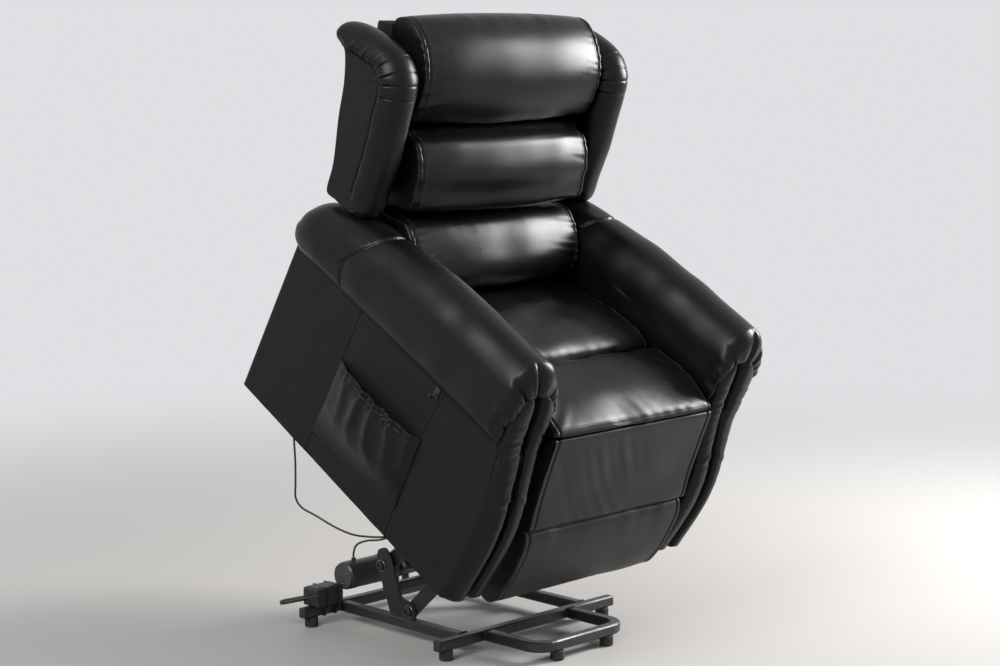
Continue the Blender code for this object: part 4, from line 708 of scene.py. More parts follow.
def stitching(name, lines, body):
    """Rows of thread stitches along lines of (points, normals) on the cover."""
    around = [(m + c, m + (c + 1) % 5, m + 5 + (c + 1) % 5, m + 5 + c) for m in (0, 5, 10) for c in range(5)]
    around += [(4, 3, 2, 1, 0), (15, 16, 17, 18, 19)]
    verts, faces = [], []
    for points, normals in lines:
        along = running(points)
        for k in range(int(along[-1] / STITCH_PITCH)):
            marks = (k + 0.15) * STITCH_PITCH + STITCH_LENGTH * np.array([0.0, 0.25, 0.75, 1.0])
            centre, normal = (np.stack([np.interp(marks, along, line[:, c]) for c in range(3)], axis=-1)
                              for line in (points, normals))
            base = len(verts)
            verts += stitch_rings(centre, normal)
            faces += [tuple(base + v for v in face) for face in around]
    mesh_piece(name, verts, faces, thread, body, turn_out=False)


def seam_line(points, rows, columns):
    """A line of lattice points just above the cover, and their normals, for a row of stitches."""
    normals = outward(points)
    line, ways = points[rows, columns], normals[rows, columns]
    return line + ways * 0.0003, ways


# ---------------------------------------------------------------------------------------------
# Seat deck and footrest board: boards whose undersides are covered in black dust cloth.
# ---------------------------------------------------------------------------------------------
show_nodes(("seat_deck", "footrest_board"), lining)


# ---------------------------------------------------------------------------------------------
# Arm side panels.  Board covered in flat faux leather: two sewn vertical seams divide the outer
# face, and the front edge follows the bowed line where the padded facing begins.
# ---------------------------------------------------------------------------------------------
PANEL_OUT = 0.396
PANEL_IN = 0.286
PANEL_DEPTH = 0.800
PANEL_HEIGHT = 0.4104
PANEL_EDGE = 0.006  # radius of its upright edges
PANEL_SEAMS = (0.30, 0.69)  # shares of its depth at which the two seams stand
SEAM_TO_STITCH = 0.0084
BOARD = 0.022
CORE_LIFT = 0.075
FRONT_EDGE = ((-0.02, 0.002), (0.08, -0.008), (0.16, -0.012), (0.26, -0.004), (0.35, 0.020), (0.42, 0.028))
FRONT_SEAM = ((0.0, 0.217), (0.14, 0.232), (0.273, 0.239), (0.41, 0.223))
REAR_SEAM_Y = 0.536


def eased(stops, z):
    """Read a line given by (height, value) stops, with its corners rounded off."""
    heights, values = zip(*stops)
    return float(sum(np.interp(z + d, heights, values) for d in (-0.03, -0.015, 0.0, 0.015, 0.03)) / 5)


def crowd(start, end, count, marks=(), tight=0.010):
    """Stations from start to end, with extra ones crowded round each mark."""
    stations = list(np.linspace(start, end, count))
    for mark in marks:
        stations += [mark + tight * d for d in (-1, -0.6, -0.35, -0.18, 0, 0.18, 0.35, 0.6, 1)]
    return np.array(sorted(s for s in set(stations) if start <= s <= end))


def panel_ring(z, across, sign):
    """The panel's section at one height: front edge, outer face with its seams, rear edge, back."""
    marks = [eased(FRONT_EDGE, z) + PANEL_EDGE, eased(FRONT_SEAM, z), REAR_SEAM_Y, PANEL_DEPTH - PANEL_EDGE]
    y = np.interp(across, (0.0, *PANEL_SEAMS, 1.0), marks)
    seam = notch(y - marks[1], 0.0022) + notch(y - marks[2], 0.0022)
    soft = 0.0016 * np.clip(1 - np.minimum(np.abs(y - marks[1]), np.abs(y - marks[2])) / 0.05, 0, 1)
    x = PANEL_OUT + 0.0010 - 0.0022 * seam - soft + 0.0005 * crumple(y, z, 3 + (sign > 0), 0.12)
    turn = np.linspace(0, np.pi / 2, 5)[1:]
    edge_x = PANEL_OUT - PANEL_EDGE + PANEL_EDGE * np.cos(turn)
    rear_y = PANEL_DEPTH - PANEL_EDGE + PANEL_EDGE * np.sin(turn)
    front_y = marks[0] - PANEL_EDGE * np.sin(turn[::-1])
    inner_y = np.linspace(PANEL_DEPTH, marks[0] - PANEL_EDGE, 12)
    ring_y = np.concatenate([front_y, y, rear_y, inner_y])
    ring_x = np.concatenate([edge_x[::-1], x, edge_x, np.full(12, PANEL_OUT - BOARD)])
    return chair(sign * ring_x, ring_y, np.full_like(ring_y, z))


def arm_panel(side, sign):
    """The side panel's cover with its stitching, and the covered box behind it."""
    across = crowd(0.0, 1.0, 90, PANEL_SEAMS, 0.014)
    heights = crowd(0.0, PANEL_HEIGHT - 0.0008, 64, (0.004, PANEL_HEIGHT - 0.006), 0.004)
    points = np.array([panel_ring(z, across, sign) for z in heights])
    skin = cover(f"arm_panel_cover_{side}", points, matt_vinyl, "chair_body")
    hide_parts(f"arm_panel_{side}")
    lines = []
    for mark in PANEL_SEAMS:
        for step in (-SEAM_TO_STITCH, SEAM_TO_STITCH):
            column = 4 + int(np.argmin(np.abs(across - mark - step)))
            lines.append(seam_line(points, slice(2, -2), column))
    stitching(f"arm_panel_stitching_{side}", lines, "chair_body")
    low, high = sorted((sign * (PANEL_IN + 0.001), sign * (PANEL_OUT - BOARD)))
    core = lattice_box(low, high, 0.027, PANEL_DEPTH - 0.002, CORE_LIFT, PANEL_HEIGHT - 0.001, PANEL_EDGE)
    cover(f"arm_core_{side}", core, matt_vinyl, "chair_body")


def lattice_box(x0, x1, y0, y1, z0, z1, edge):
    """A covered board as a lattice: rounded corners in plan, eased top and bottom."""
    corners = np.array([(x0, y0), (x1, y0), (x1, y1), (x0, y1)])
    loop = []
    for k, corner in enumerate(corners):
        back, ahead = corners[k - 1] - corner, corners[(k + 1) % 4] - corner
        back /= np.linalg.norm(back)
        ahead /= np.linalg.norm(ahead)
        centre = corner + (back + ahead) * edge
        for turn in np.linspace(0, np.pi / 2, 5):
            loop.append(centre - ahead * edge * math.cos(turn) - back * edge * math.sin(turn))
    loop = np.array(loop)
    middle = np.array([(x0 + x1) / 2, (y0 + y1) / 2])
    rings = []
    for z, inset in ((z0, 0.8), (z0 + 0.15 * edge, 0.35), (z0 + 0.6 * edge, 0.05), (z0 + edge, 0.0),
                     (z1 - edge, 0.0), (z1 - 0.6 * edge, 0.05), (z1 - 0.15 * edge, 0.35), (z1, 0.8)):
        way = middle - loop
        way /= np.linalg.norm(way, axis=1, keepdims=True)
        ring = loop + way * edge * inset
        rings.append(chair(ring[:, 0], ring[:, 1], np.full(len(ring), z)))
    return np.array(rings)


for side, sign in SIDES:
    arm_panel(side, sign)


# ---------------------------------------------------------------------------------------------
# Arm rolls.  Foam rolls wrapped in faux leather: a sewn seam crosses each a quarter from the
# rear, and the cover is pleated round the front, where it meets the facing's round head.
# ---------------------------------------------------------------------------------------------
ROLL_OUT = 0.436
ROLL_IN = 0.2755
ROLL_FRONT = 0.022
ROLL_END = 0.740  # where the roll starts to close in towards its rear
ROLL_REAR = 0.812
ROLL_SECTION = (
    (-0.40, 0.0), (0.24, 0.0), (0.47, 0.16), (0.50, 0.42), (0.44, 0.72), (0.24, 0.94),
    (0.0, 1.0), (-0.26, 0.93), (-0.44, 0.70), (-0.50, 0.40), (-0.48, 0.12),
)
HEAD_CENTRE_Z = PANEL_HEIGHT + 0.075
HEAD_RADIUS = 0.062
HEAD_CENTRE_X = PANEL_IN + 0.110 * 0.55


def roll_height(y):
    return 0.204 - 0.26 * np.maximum(0.0, y - 0.25) ** 2


RIM_SEAMS = (-0.35, 0.74, 1.42, 2.40)  # angles of the rim's pleat seams, from outward over the top
ROLL_FULL = 0.058  # where the roll reaches its full section, behind the rim


def roll_stations():
    """(y, pull, head radius) from inside the rim to the rear: pull 1 lies on the facing's head."""
    inside = [(ROLL_FRONT + 0.030, 1.0, 0.030), (ROLL_FRONT + 0.022, 1.0, 0.050)]
    inside += [(ROLL_FRONT + back, 1.0, HEAD_RADIUS - thin)
               for back, thin in ((0.014, 0.0075), (0.008, 0.0070), (0.003, 0.0055), (0.0004, 0.0025))]
    over = [(ROLL_FULL - (ROLL_FULL - ROLL_FRONT) * math.sin(turn), 1 - math.cos(turn), HEAD_RADIUS + 0.002)
            for turn in np.linspace(np.pi / 2, 0.0, 30)]
    return inside + over


def roll_rings(section_x, w, mid):
    """The roll's rings of (x, y, z): round the head, along the arm and closed in at the rear."""
    rings = []
    for y, pull, radius in roll_stations():
        z = PANEL_HEIGHT + w * roll_height(y)
        way_x, way_z = section_x - HEAD_CENTRE_X, np.maximum(0.0, z - HEAD_CENTRE_Z)
        reach = np.maximum(np.hypot(way_x, way_z), 0.001)
        head_x = HEAD_CENTRE_X + way_x / reach * radius
        head_z = np.minimum(z, HEAD_CENTRE_Z) + way_z / reach * radius
        low = 0.008 * np.clip(1 - (z - PANEL_HEIGHT) / 0.09, 0, 1) * pull
        rings.append(np.stack([section_x * (1 - pull) + head_x * pull, y + low,
                               z * (1 - pull) + head_z * pull], axis=-1))
    for y in crowd(0.061, ROLL_END, 130, (0.53, 0.56, 0.59, 0.615), 0.012):
        rings.append(np.stack([section_x, np.full_like(section_x, y),
                               PANEL_HEIGHT + w * roll_height(y)], axis=-1))
    for turn in np.linspace(0.0, np.pi / 2 * 0.97, 18)[1:]:
        y = ROLL_END + (ROLL_REAR - ROLL_END) * math.sin(turn)
        keep = math.cos(turn) ** 0.75
        x = mid + (section_x - mid) * (0.35 + 0.65 * keep)
        z = PANEL_HEIGHT + np.maximum(0.0, 0.42 + (w - 0.42) * keep) * roll_height(y)
        rings.append(np.stack([x, np.full_like(x, y), z], axis=-1))
    return np.array(rings)


def roll_rise(y, z, angle, sign):
    """How far the cover stands out: pleats on the rim, the cross seam with its puckers, soft folds."""
    front = ramp(ROLL_FULL + 0.004 - y, 0.034) ** 1.2
    seams = sum(notch(angle - at, 0.050) for at in RIM_SEAMS)
    near = sum(notch(angle - at, 0.20) for at in RIM_SEAMS)
    rise = front * (-0.0055 * seams + 0.0036 * (1 - near))
    rise += 0.0020 * front * ripple(angle, 8, 0.55)
    seam_y = 0.615 - 0.60 * np.maximum(0.0, z - 0.49) + 0.35 * np.minimum(0.0, z - 0.49)
    gap = y - seam_y
    rise -= 0.0050 * notch(gap, 0.0040)
    pucker = np.abs(ripple(angle * 0.08, 21, 0.020))
    rise -= 0.0020 * pucker * fading(np.abs(gap), 0.020) * (np.abs(gap) > 0.002)
    rise += 0.0035 * ramp(gap, 0.10) * (1 - ramp(gap - 0.10, 0.10))
    rise += 0.0012 * crumple(y, angle * 0.08, 40 + (sign > 0), 0.13, 0.7)
    rise += 0.0016 * ramp(gap, 0.03) * ripple(angle, 77, 0.9)
    return rise * ramp(z - PANEL_HEIGHT - 0.012, 0.03)


def arm_roll(side, sign):
    """One arm's padded roll."""
    mid, wide = (ROLL_OUT + ROLL_IN) / 2, ROLL_OUT - ROLL_IN
    loop = loop_through(ROLL_SECTION, 264)
    u, w = loop[:, 0], np.maximum(loop[:, 1], 0.0)
    local = roll_rings(mid + u * wide, w, mid)
    y, z = local[..., 1], local[..., 2]
    angle = np.broadcast_to(np.arctan2(w - 0.45, u), y.shape)
    points = chair(sign * local[..., 0], y, z)
    points = points + outward(points) * roll_rise(y, z, angle, sign)[..., None]
    roll = cover(f"arm_roll_cover_{side}", points, vinyl, "chair_body")
    upholster(roll, f"arm_roll_{side}")


for side, sign in SIDES:
    arm_roll(side, sign)


# ---------------------------------------------------------------------------------------------
# Arm facings.  Two stuffed vertical bands on each arm's front, drawn together by a deep sewn
# groove, with the cover gathered where they enter the round head.
# ---------------------------------------------------------------------------------------------
FACING_BACK = 0.025
HEAD_BACK = 0.056  # the round head reaches further back, inside the roll's rim
HEAD_TOP = HEAD_CENTRE_Z + HEAD_RADIUS
FACING_CROWN = ((0.0, -0.030), (0.10, -0.042), (0.18, -0.047), (0.26, -0.038), (0.34, -0.014), (0.41, 0.002),
                (0.48, 0.007), (0.55, 0.018))


def facing_sides(z):
    """The facing's inner and outer side: the panel's width below, the round head above."""
    reach = math.sqrt(max(0.0, HEAD_RADIUS ** 2 - max(0.0, z - HEAD_CENTRE_Z) ** 2))
    blend = ramp(z - PANEL_HEIGHT + 0.028, 0.030)
    inner = (1 - blend) * (PANEL_IN + 0.0003) + blend * (HEAD_CENTRE_X - reach)
    outer = (1 - blend) * PANEL_OUT + blend * (HEAD_CENTRE_X + reach)
    return inner, outer


def facing_front(u, z, width):
    """Height of the two padded bands over the shares u of the width, and the bulge alone."""
    groove_at = 0.5 + 0.05 * math.sin(z * 9.0 + 0.4)
    d = (u - groove_at) * width
    full = ramp(z - 0.38, 0.08)
    lobe = np.minimum(ramp(u, groove_at), ramp(1 - u, 1 - groove_at))
    bulge = (1 - (1 - np.minimum(1.0, lobe * 1.9)) ** 2.6) ** 0.55
    profile = 0.30 + 0.35 * full + (0.70 - 0.35 * full) * bulge
    profile = profile * (1 - (0.62 + 0.12 * full) * notch(d, 0.0085 + 0.004 * ramp(z - 0.36, 0.1)))
    fold = 0.0016 * notch(z - 0.430, 0.045) * ripple(z + 0.25 * d * np.sign(d), 31, 0.026)
    fold += 0.0014 * notch(z - 0.28, 0.06) * ripple(z + 0.5 * np.abs(d), 35, 0.036)
    return profile, fold * bulge


def facing_ring(z, u, sign):
    """The facing's section at one height, its back lying against the panel's edge."""
    inner, outer = facing_sides(min(z, HEAD_TOP - 0.0004))
    profile, fold = facing_front(u, z, outer - inner)
    back = FACING_BACK + (HEAD_BACK - FACING_BACK) * ramp(z - 0.385, 0.03)
    ends = min(rounding(z, 0.014), rounding(HEAD_TOP - z, 0.03))
    y = back - (back - eased(FACING_CROWN, z)) * profile * (0.35 + 0.65 * ends) - fold
    side_y = min(eased(FRONT_EDGE, z), FACING_BACK - 0.002) if z < PANEL_HEIGHT else back - 0.002
    ring_x = np.concatenate([inner + (outer - inner) * u, [outer, inner]])
    ring_y = np.concatenate([y, [max(side_y, y[-1] + 0.002), max(side_y, y[0] + 0.002)]])
    return chair(sign * ring_x, ring_y, np.full_like(ring_x, z))


def arm_facing(side, sign):
    """One arm's stuffed facing, from the floor end to the round head."""
    heights = np.concatenate([
        [0.0003, 0.0012, 0.003, 0.006], np.linspace(0.012, HEAD_TOP - 0.02, 210),
        HEAD_TOP - 0.02 * np.cos(np.linspace(0, np.pi / 2 * 0.96, 9)[1:]),
    ])
    u = crowd(0.0, 1.0, 56, (0.5,), 0.10)
    points = np.array([facing_ring(z, u, sign) for z in heights])
    facing = cover(f"arm_facing_cover_{side}", points, vinyl, "chair_body")
    upholster(facing, f"arm_facing_{side}")


for side, sign in SIDES:
    arm_facing(side, sign)


# ---------------------------------------------------------------------------------------------
# Seat cushion.  Sprung foam under a loose cover, with a sewn channel across it, a welt in front
# of the channel and a double-stitched seam along its front edge.
# ---------------------------------------------------------------------------------------------
SEAT_BASE = 0.3353  # just above the seat deck
SEAT_CROWN = SEAT_BASE + 0.137
SEAT_WIDTH = 0.534
CREASE_Y = 0.222


def boxed_cushion(outline, width, seam_in, slight, draw, place, rise, columns=190, rows=92, power=5.0):
    """A cushion lofted across its width: a crowned face between two sewn seams, and rounded sides.

    outline holds (a, b) points; slight is how far the face draws in towards the anchor at its seams
    and draw at the cushion's ends; rise gives the swelling over (x, a, b).
    """
    anchor, to_world = place
    loop = loop_through(outline, columns)
    half = width / 2
    edge_x = half - seam_in
    stations = [(x, 1 - slight * abs(x / edge_x) ** power)
                for x in crowd(-edge_x, edge_x, rows, (-edge_x, edge_x), 0.010)]
    close = [(edge_x + seam_in * math.sin(turn), 1 - slight - (draw - slight) * (1 - math.cos(turn)))
             for turn in np.linspace(0, np.pi / 2, 13)[1:]]
    last = 1 - draw
    close += [(half - 0.0015 * (1 - share), last * share) for share in (0.90, 0.76, 0.58, 0.38, 0.18, 0.04)]
    stations = np.array([(-x, k) for x, k in close[::-1]] + stations + close)
    x, scale = stations[:, :1], stations[:, 1:]
    narrow = np.where(scale < last - 0.001, (1 - 0.6 * draw) * scale / last, 1 - 0.6 * (1 - scale))
    a = anchor[0] + (loop[None, :, 0] - anchor[0]) * narrow
    b = anchor[1] + (loop[None, :, 1] - anchor[1]) * scale
    x_grid = np.broadcast_to(x, a.shape)
    points = to_world(x_grid, a, b)
    lift = rise(x_grid, a, b) * np.clip((scale - last + 0.02) / 0.03, 0, 1)
    lift = lift - 0.0030 * notch(np.abs(x_grid) - edge_x, 0.0026)
    return points + outward(points) * lift[..., None], x[:, 0], loop


SEAT_OUTLINE = (
    (0.046, SEAT_BASE), (0.042, SEAT_BASE + 0.050), (0.036, SEAT_BASE + 0.088), (0.012, SEAT_BASE + 0.100),
    (-0.006, SEAT_BASE + 0.1025), (-0.0095, SEAT_BASE + 0.1065), (0.012, SEAT_BASE + 0.119),
    (0.070, SEAT_CROWN - 0.004), (0.130, SEAT_CROWN), (0.185, SEAT_CROWN - 0.004),
    (0.209, SEAT_CROWN - 0.012), (0.2185, SEAT_CROWN - 0.027), (0.2225, SEAT_CROWN - 0.038),
    (0.228, SEAT_CROWN - 0.026), (0.242, SEAT_CROWN - 0.013), (0.275, SEAT_CROWN - 0.004),
    (0.330, SEAT_CROWN - 0.003), (0.400, SEAT_CROWN - 0.014), (0.470, SEAT_CROWN - 0.030),
    (0.540, SEAT_CROWN - 0.048), (0.608, SEAT_CROWN - 0.064), (0.628, SEAT_CROWN - 0.075),
    (0.628, SEAT_BASE + 0.010), (0.618, SEAT_BASE), (0.40, SEAT_BASE), (0.20, SEAT_BASE),
)


SEAT_SEAM = (-0.0070, SEAT_BASE + 0.1095)


def seat_rise(x, y, z):
    """Wrinkles beside the channel, along the front and in the corners, and the front seam."""
    fold = 0.0018 * crumple(x, y, 11, 0.16)
    fold += 0.0012 * fading(np.abs(y - CREASE_Y), 0.030) * ripple(x + 0.3 * (y - CREASE_Y), 12, 0.058)
    fold += 0.0005 * fading(y + 0.010, 0.055) * ripple(x + 0.4 * y, 14, 0.055)
    fold += 0.0012 * ramp(np.abs(x) - 0.17, 0.09) * ripple(y * 0.7 + np.abs(x) * 0.6, 15, 0.05)
    seam = notch(np.hypot(y - SEAT_SEAM[0], z - SEAT_SEAM[1]), 0.0042)
    return fold * ramp(z - SEAT_BASE - 0.09, 0.02) - 0.0034 * seam


seat_points, seat_x, seat_loop = boxed_cushion(
    SEAT_OUTLINE, SEAT_WIDTH, 0.014, 0.02, 0.10, ((0.30, SEAT_BASE), chair), seat_rise, columns=260, rows=110
)
seat = cover("seat_cushion_cover", seat_points, vinyl, "chair_body")
upholster(seat, "seat_cushion")

seat_inside = slice(int(np.argmax(seat_x > -0.240)), int(np.argmax(seat_x > 0.240)))
front_column = int(np.argmin(np.hypot(*(seat_loop - SEAT_SEAM).T)))
stitching("seat_front_stitching",
          [seam_line(seat_points, seat_inside, (front_column + step) % len(seat_loop)) for step in (-2, 2)],
          "chair_body")


# ---------------------------------------------------------------------------------------------
# Side pocket.  A pouch of soft faux leather sewn on the left panel along three sides, gathered
# along its open top by elastic inside a rolled hem.
# ---------------------------------------------------------------------------------------------
POCKET_FRONT, POCKET_REAR = 0.232, 0.536
POCKET_BOTTOM, POCKET_TOP = 0.062, 0.268
POCKET_SHEET = 0.0022
POCKET_FOLDS = ((0.10, 0.9), (0.27, 0.8), (0.46, 1.0), (0.66, 0.9), (0.86, 0.7))  # place, strength


def pocket_lattice():
    """(y, z) over the pouch and how far its outside stands off the panel."""
    u = np.linspace(0, 1, 240)[None, :]
    v = np.concatenate([np.linspace(0, 0.90, 70), np.linspace(0.905, 1.0, 22)])[:, None]
    y = POCKET_FRONT + (POCKET_REAR - POCKET_FRONT) * u - 0.010 * (1 - v) * (1 - u)
    z = POCKET_BOTTOM + (POCKET_TOP - POCKET_BOTTOM) * v + 0.014 * (1 - u) * (1 - v)
    across = np.clip(4 * u * (1 - u), 0, 1) ** 0.75
    rising = ramp(v, 0.45)
    up = rising * rising * (3 - 2 * rising)
    off = 0.0255 * across * up * (1 - 0.12 * ramp(v - 0.55, 0.45))
    strength = ramp(v - 0.22, 0.40) * across ** 0.5
    ridges = 0.0
    for place, how in POCKET_FOLDS:
        centre = place - 0.12 * (1 - v) ** 1.3 + 0.02 * np.sin(5 * v + 9 * place)
        width = 0.036 + 0.045 * (1 - v)
        ridges = ridges + how * notch(u - centre, width)
    off = off + 0.0072 * strength * (ridges - 0.35)
    gather = 0.5 + 0.5 * np.sin(2 * np.pi * (13.5 * u + 0.5 * ripple(u, 62, 0.12)))
    hem = ramp(v - 0.80, 0.12)
    off = off - 0.0040 * hem * across * gather ** 2
    off = off + 0.0010 * crumple(u * 0.3, v * 0.2, 63, 0.06) * across * up
    tall = POCKET_TOP - POCKET_BOTTOM
    off = off - 0.0022 * notch((v - 0.925) * tall, 0.0020) * across
    off = off + 0.0022 * notch((v - 0.965) * tall, 0.0050) * across
    border = ramp(np.minimum(u, 1 - u), 0.012)
    return y, z, np.maximum(0.0, off) * border + POCKET_SHEET


pocket_y, pocket_z, pocket_off = pocket_lattice()
WALL = PANEL_OUT + 0.0012
pocket_out = chair(-(WALL + pocket_off), pocket_y, pocket_z)
pocket_in = chair(-(WALL + np.maximum(0.0, pocket_off - POCKET_SHEET)), pocket_y, pocket_z)


def pouch(name, outer, inner):
    """A thin closed sheet from its outer and inner lattices."""
    size = outer.shape[0] * outer.shape[1]
    index = np.arange(size).reshape(outer.shape[:2])
    quads = np.stack([index[:-1, :-1], index[:-1, 1:], index[1:, 1:], index[1:, :-1]], axis=-1)
    quads = quads.reshape(-1, 4)
    faces = quads.tolist() + (quads[:, ::-1] + size).tolist()
    border = np.concatenate([index[0], index[1:, -1], index[-1, :-1][::-1], index[1:-1, 0][::-1]]).tolist()
    faces += [[b, a, a + size, b + size] for a, b in zip(border, border[1:] + border[:1])]
    verts = np.concatenate([outer.reshape(-1, 3), inner.reshape(-1, 3)]).tolist()
    return mesh_piece(name, verts, faces, vinyl, "chair_body")


pocket = pouch("side_pocket_pouch", pocket_out, pocket_in)
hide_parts("side_pocket")


# ---------------------------------------------------------------------------------------------
# Hand control and hook.  A slim moulded handset stands in the pocket; its hook is a small
# injection-moulded clip screwed to the panel under the arm roll.
# ---------------------------------------------------------------------------------------------
HANDSET_Y = 0.375
HANDSET_BOTTOM, HANDSET_TOP = 0.098, 0.2465
HANDSET_WIDTH, HANDSET_DEEP = 0.047, 0.0178


def handset():
    """The hand control's case: its lower end tapers, its edges are rounded."""
    turn = np.linspace(0, 2 * np.pi, 40, endpoint=False)
    rings = []
    for z in crowd(HANDSET_BOTTOM, HANDSET_TOP, 40, (HANDSET_BOTTOM, HANDSET_TOP), 0.004):
        ease = rounding(min(z - HANDSET_BOTTOM, HANDSET_TOP - z), 0.006)
        taper = 0.40 + 0.60 * ramp(z - HANDSET_BOTTOM, 0.050) ** 0.8
        half = HANDSET_WIDTH / 2 * (0.86 + 0.14 * ease)
        deep = HANDSET_DEEP * taper * (0.6 + 0.4 * ease)
        y = HANDSET_Y + half * np.sign(np.cos(turn)) * np.abs(np.cos(turn)) ** 0.35
        off = deep * (0.5 + 0.5 * np.sign(np.sin(turn)) * np.abs(np.sin(turn)) ** 0.35)
        rings.append(chair(-(PANEL_OUT + 0.0004 + off), y, np.full_like(y, z)))
    case = cover("handset_case", np.array(rings), can_plastic, "chair_body")
    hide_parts("handset")


handset()
show_nodes(("handset_hook",), plug_plastic)
show_nodes(("raise_button", "lower_button"), end_disc)


# ---------------------------------------------------------------------------------------------
# Footrest pad.  A padded board that hangs in front of the seat: a tall upper panel, a sewn
# channel and a fuller lower roll.
# ---------------------------------------------------------------------------------------------
PAD_BACK = 0.0100
PAD_WIDTH = 0.529
PAD_SEAM_Z = 0.194
PAD_OUTLINE = (
    (PAD_BACK, 0.030), (PAD_BACK, 0.150), (PAD_BACK, 0.280), (PAD_BACK, 0.400), (0.006, 0.424),
    (-0.003, 0.4295), (-0.010, 0.424), (-0.015, 0.390), (-0.0215, 0.340), (-0.031, 0.280), (-0.041, 0.235),
    (-0.0460, 0.213), (-0.0435, 0.201), (-0.0345, 0.194), (-0.0440, 0.187), (-0.0520, 0.172),
    (-0.0575, 0.140), (-0.0585, 0.100), (-0.0555, 0.050), (-0.0460, 0.005), (-0.032, -0.016),
    (-0.012, -0.022), (0.004, -0.018), (PAD_BACK, -0.004),
)


def pad_rise(x, y, z):
    """Slanting wrinkles above the channel and in the middle of the upper panel."""
    face = ramp(PAD_BACK - 0.008 - y, 0.012)
    upper = ramp(z - PAD_SEAM_Z, 0.02)
    near = fading(np.abs(z - PAD_SEAM_Z), 0.045)
    bunch = notch(x + 0.05, 0.13)
    fold = 0.0013 * crumple(x, z, 51, 0.17)
    fold += 0.0024 * near * upper * bunch * ripple(x + 0.75 * (z - PAD_SEAM_Z), 52, 0.075)
    fold += 0.0010 * near * (1 - upper) * ripple(x, 53, 0.09)
    fold += 0.0024 * notch(z - 0.345, 0.055) * bunch * ripple(x + 0.60 * z, 54, 0.062)
    return fold * face


pad_points, _, _ = boxed_cushion(
    PAD_OUTLINE, PAD_WIDTH, 0.012, 0.001, 0.004, ((PAD_BACK, 0.205), chair), pad_rise, columns=250, rows=110
)
pad = cover("footrest_pad_cover", pad_points, foot_vinyl, "footrest")
upholster(pad, "footrest_pad")


# ---------------------------------------------------------------------------------------------
# Back.  Three pillows of fibre, each a sewn case with boxed sides, on an upholstered shell.
# ---------------------------------------------------------------------------------------------
BACK_LEAN = math.radians(18.8)
BACK_FOOT_Y, BACK_FOOT_Z = 0.722, 0.400
SHELL_THICKNESS = 0.047
SHELL_HEIGHT = 0.574


def reclined(x, s, n):
    """World points of the back's own coordinates: s up the shell, n forward of its rear face."""
    s, n = np.asarray(s, float), np.asarray(n, float)
    return chair(
        x,
        BACK_FOOT_Y + s * math.sin(BACK_LEAN) - n * math.cos(BACK_LEAN),
        BACK_FOOT_Z + s * math.cos(BACK_LEAN) + n * math.sin(BACK_LEAN),
    )


PILLOW_BACK = SHELL_THICKNESS + 0.0003
PILLOW_SEAM = 0.013  # from each end to the double-stitched seam
PILLOW_STITCHES = (0.0045, 0.0100)  # from that seam in to each row of stitches


def roll_outline(low, high, n_low, n_high, n_crown):
    """A pillow's section: (s, n) points round a crowned face and a flat back."""
    tall = high - low
    return (
        (low, PILLOW_BACK), (low, n_low * 0.62), (low + 0.004, n_low * 0.90),
        (low + 0.10 * tall, n_low + 0.018), (low + 0.30 * tall, n_crown - 0.006),
        (low + 0.50 * tall, n_crown), (low + 0.69 * tall, n_crown - 0.008),
        (low + 0.86 * tall, n_crown - 0.026), (high - 0.012, n_high + 0.012),
        (high - 0.002, n_high - 0.008), (high, n_high * 0.66), (high, PILLOW_BACK),
        (low + 0.66 * tall, PILLOW_BACK), (low + 0.33 * tall, PILLOW_BACK),
    )


HEAD_OUTLINE = (
    (0.3585, PILLOW_BACK), (0.3585, 0.100), (0.359, 0.128), (0.366, 0.152), (0.392, 0.174), (0.430, 0.189),
    (0.474, 0.194), (0.520, 0.184), (0.560, 0.162), (0.590, 0.133), (0.606, 0.104), (0.606, 0.070),
    (0.590, PILLOW_BACK), (0.530, PILLOW_BACK), (0.475, PILLOW_BACK), (0.420, PILLOW_BACK),
)


def pillow(name, outline, low, high, width, seed, rough):
    """One back pillow with soft horizontal folds and puckers at its side seams."""
    anchor = ((low + high) / 2, PILLOW_BACK)
    edge_x = width / 2 - PILLOW_SEAM

    def rise(x, s, n):
        beside = edge_x - np.abs(x)
        fold = 0.0013 * crumple(x, s, seed, 0.19)
        fold += rough * ripple(s + 0.18 * np.abs(x), seed + 1, 0.026) * fading(np.abs(beside), 0.030)
        fold += 0.0006 * (fading(s - low, 0.020) + fading(high - s, 0.020)) * ripple(x, seed + 2, 0.07)
        fold += 0.0008 * ramp(-beside, 0.008) * ripple(s, seed + 3, 0.030)
        return fold * ramp(n - PILLOW_BACK - 0.03, 0.03)

    points, x, dense = boxed_cushion(outline, width, PILLOW_SEAM, 0.125, 0.175, (anchor, reclined), rise,
                                     columns=230, rows=104, power=2.3)
    upholster(cover(f"{name}_cover", points, vinyl, "back"), name)
    face = np.where(dense[:, 1] > PILLOW_BACK + 0.05)[0]
    order = np.arange(face.min(), face.max() + 1)
    rows = [int(np.argmin(np.abs(x - sign * (edge_x - step))))
            for sign in (-1, 1) for step in PILLOW_STITCHES]
    stitching(f"{name}_stitching", [seam_line(points, row, order) for row in rows], "back")


LUMBAR_OUTLINE = (
    (-0.006, PILLOW_BACK), (-0.018, 0.110), (-0.027, 0.165), (-0.024, 0.200), (-0.010, 0.221),
    (0.014, 0.233), (0.046, 0.233), (0.080, 0.221), (0.110, 0.204), (0.134, 0.182), (0.1475, 0.154),
    (0.1495, 0.115), (0.1495, PILLOW_BACK), (0.100, PILLOW_BACK), (0.050, PILLOW_BACK),
)
pillow("lumbar_pillow", LUMBAR_OUTLINE, -0.026, 0.150, 0.554, 101, 0.0016)
pillow("middle_pillow", roll_outline(0.1525, 0.356, 0.180, 0.138, 0.208), 0.1525, 0.356, 0.566, 111, 0.0012)
pillow("head_pillow", HEAD_OUTLINE, 0.3585, 0.606, 0.584, 121, 0.0014)


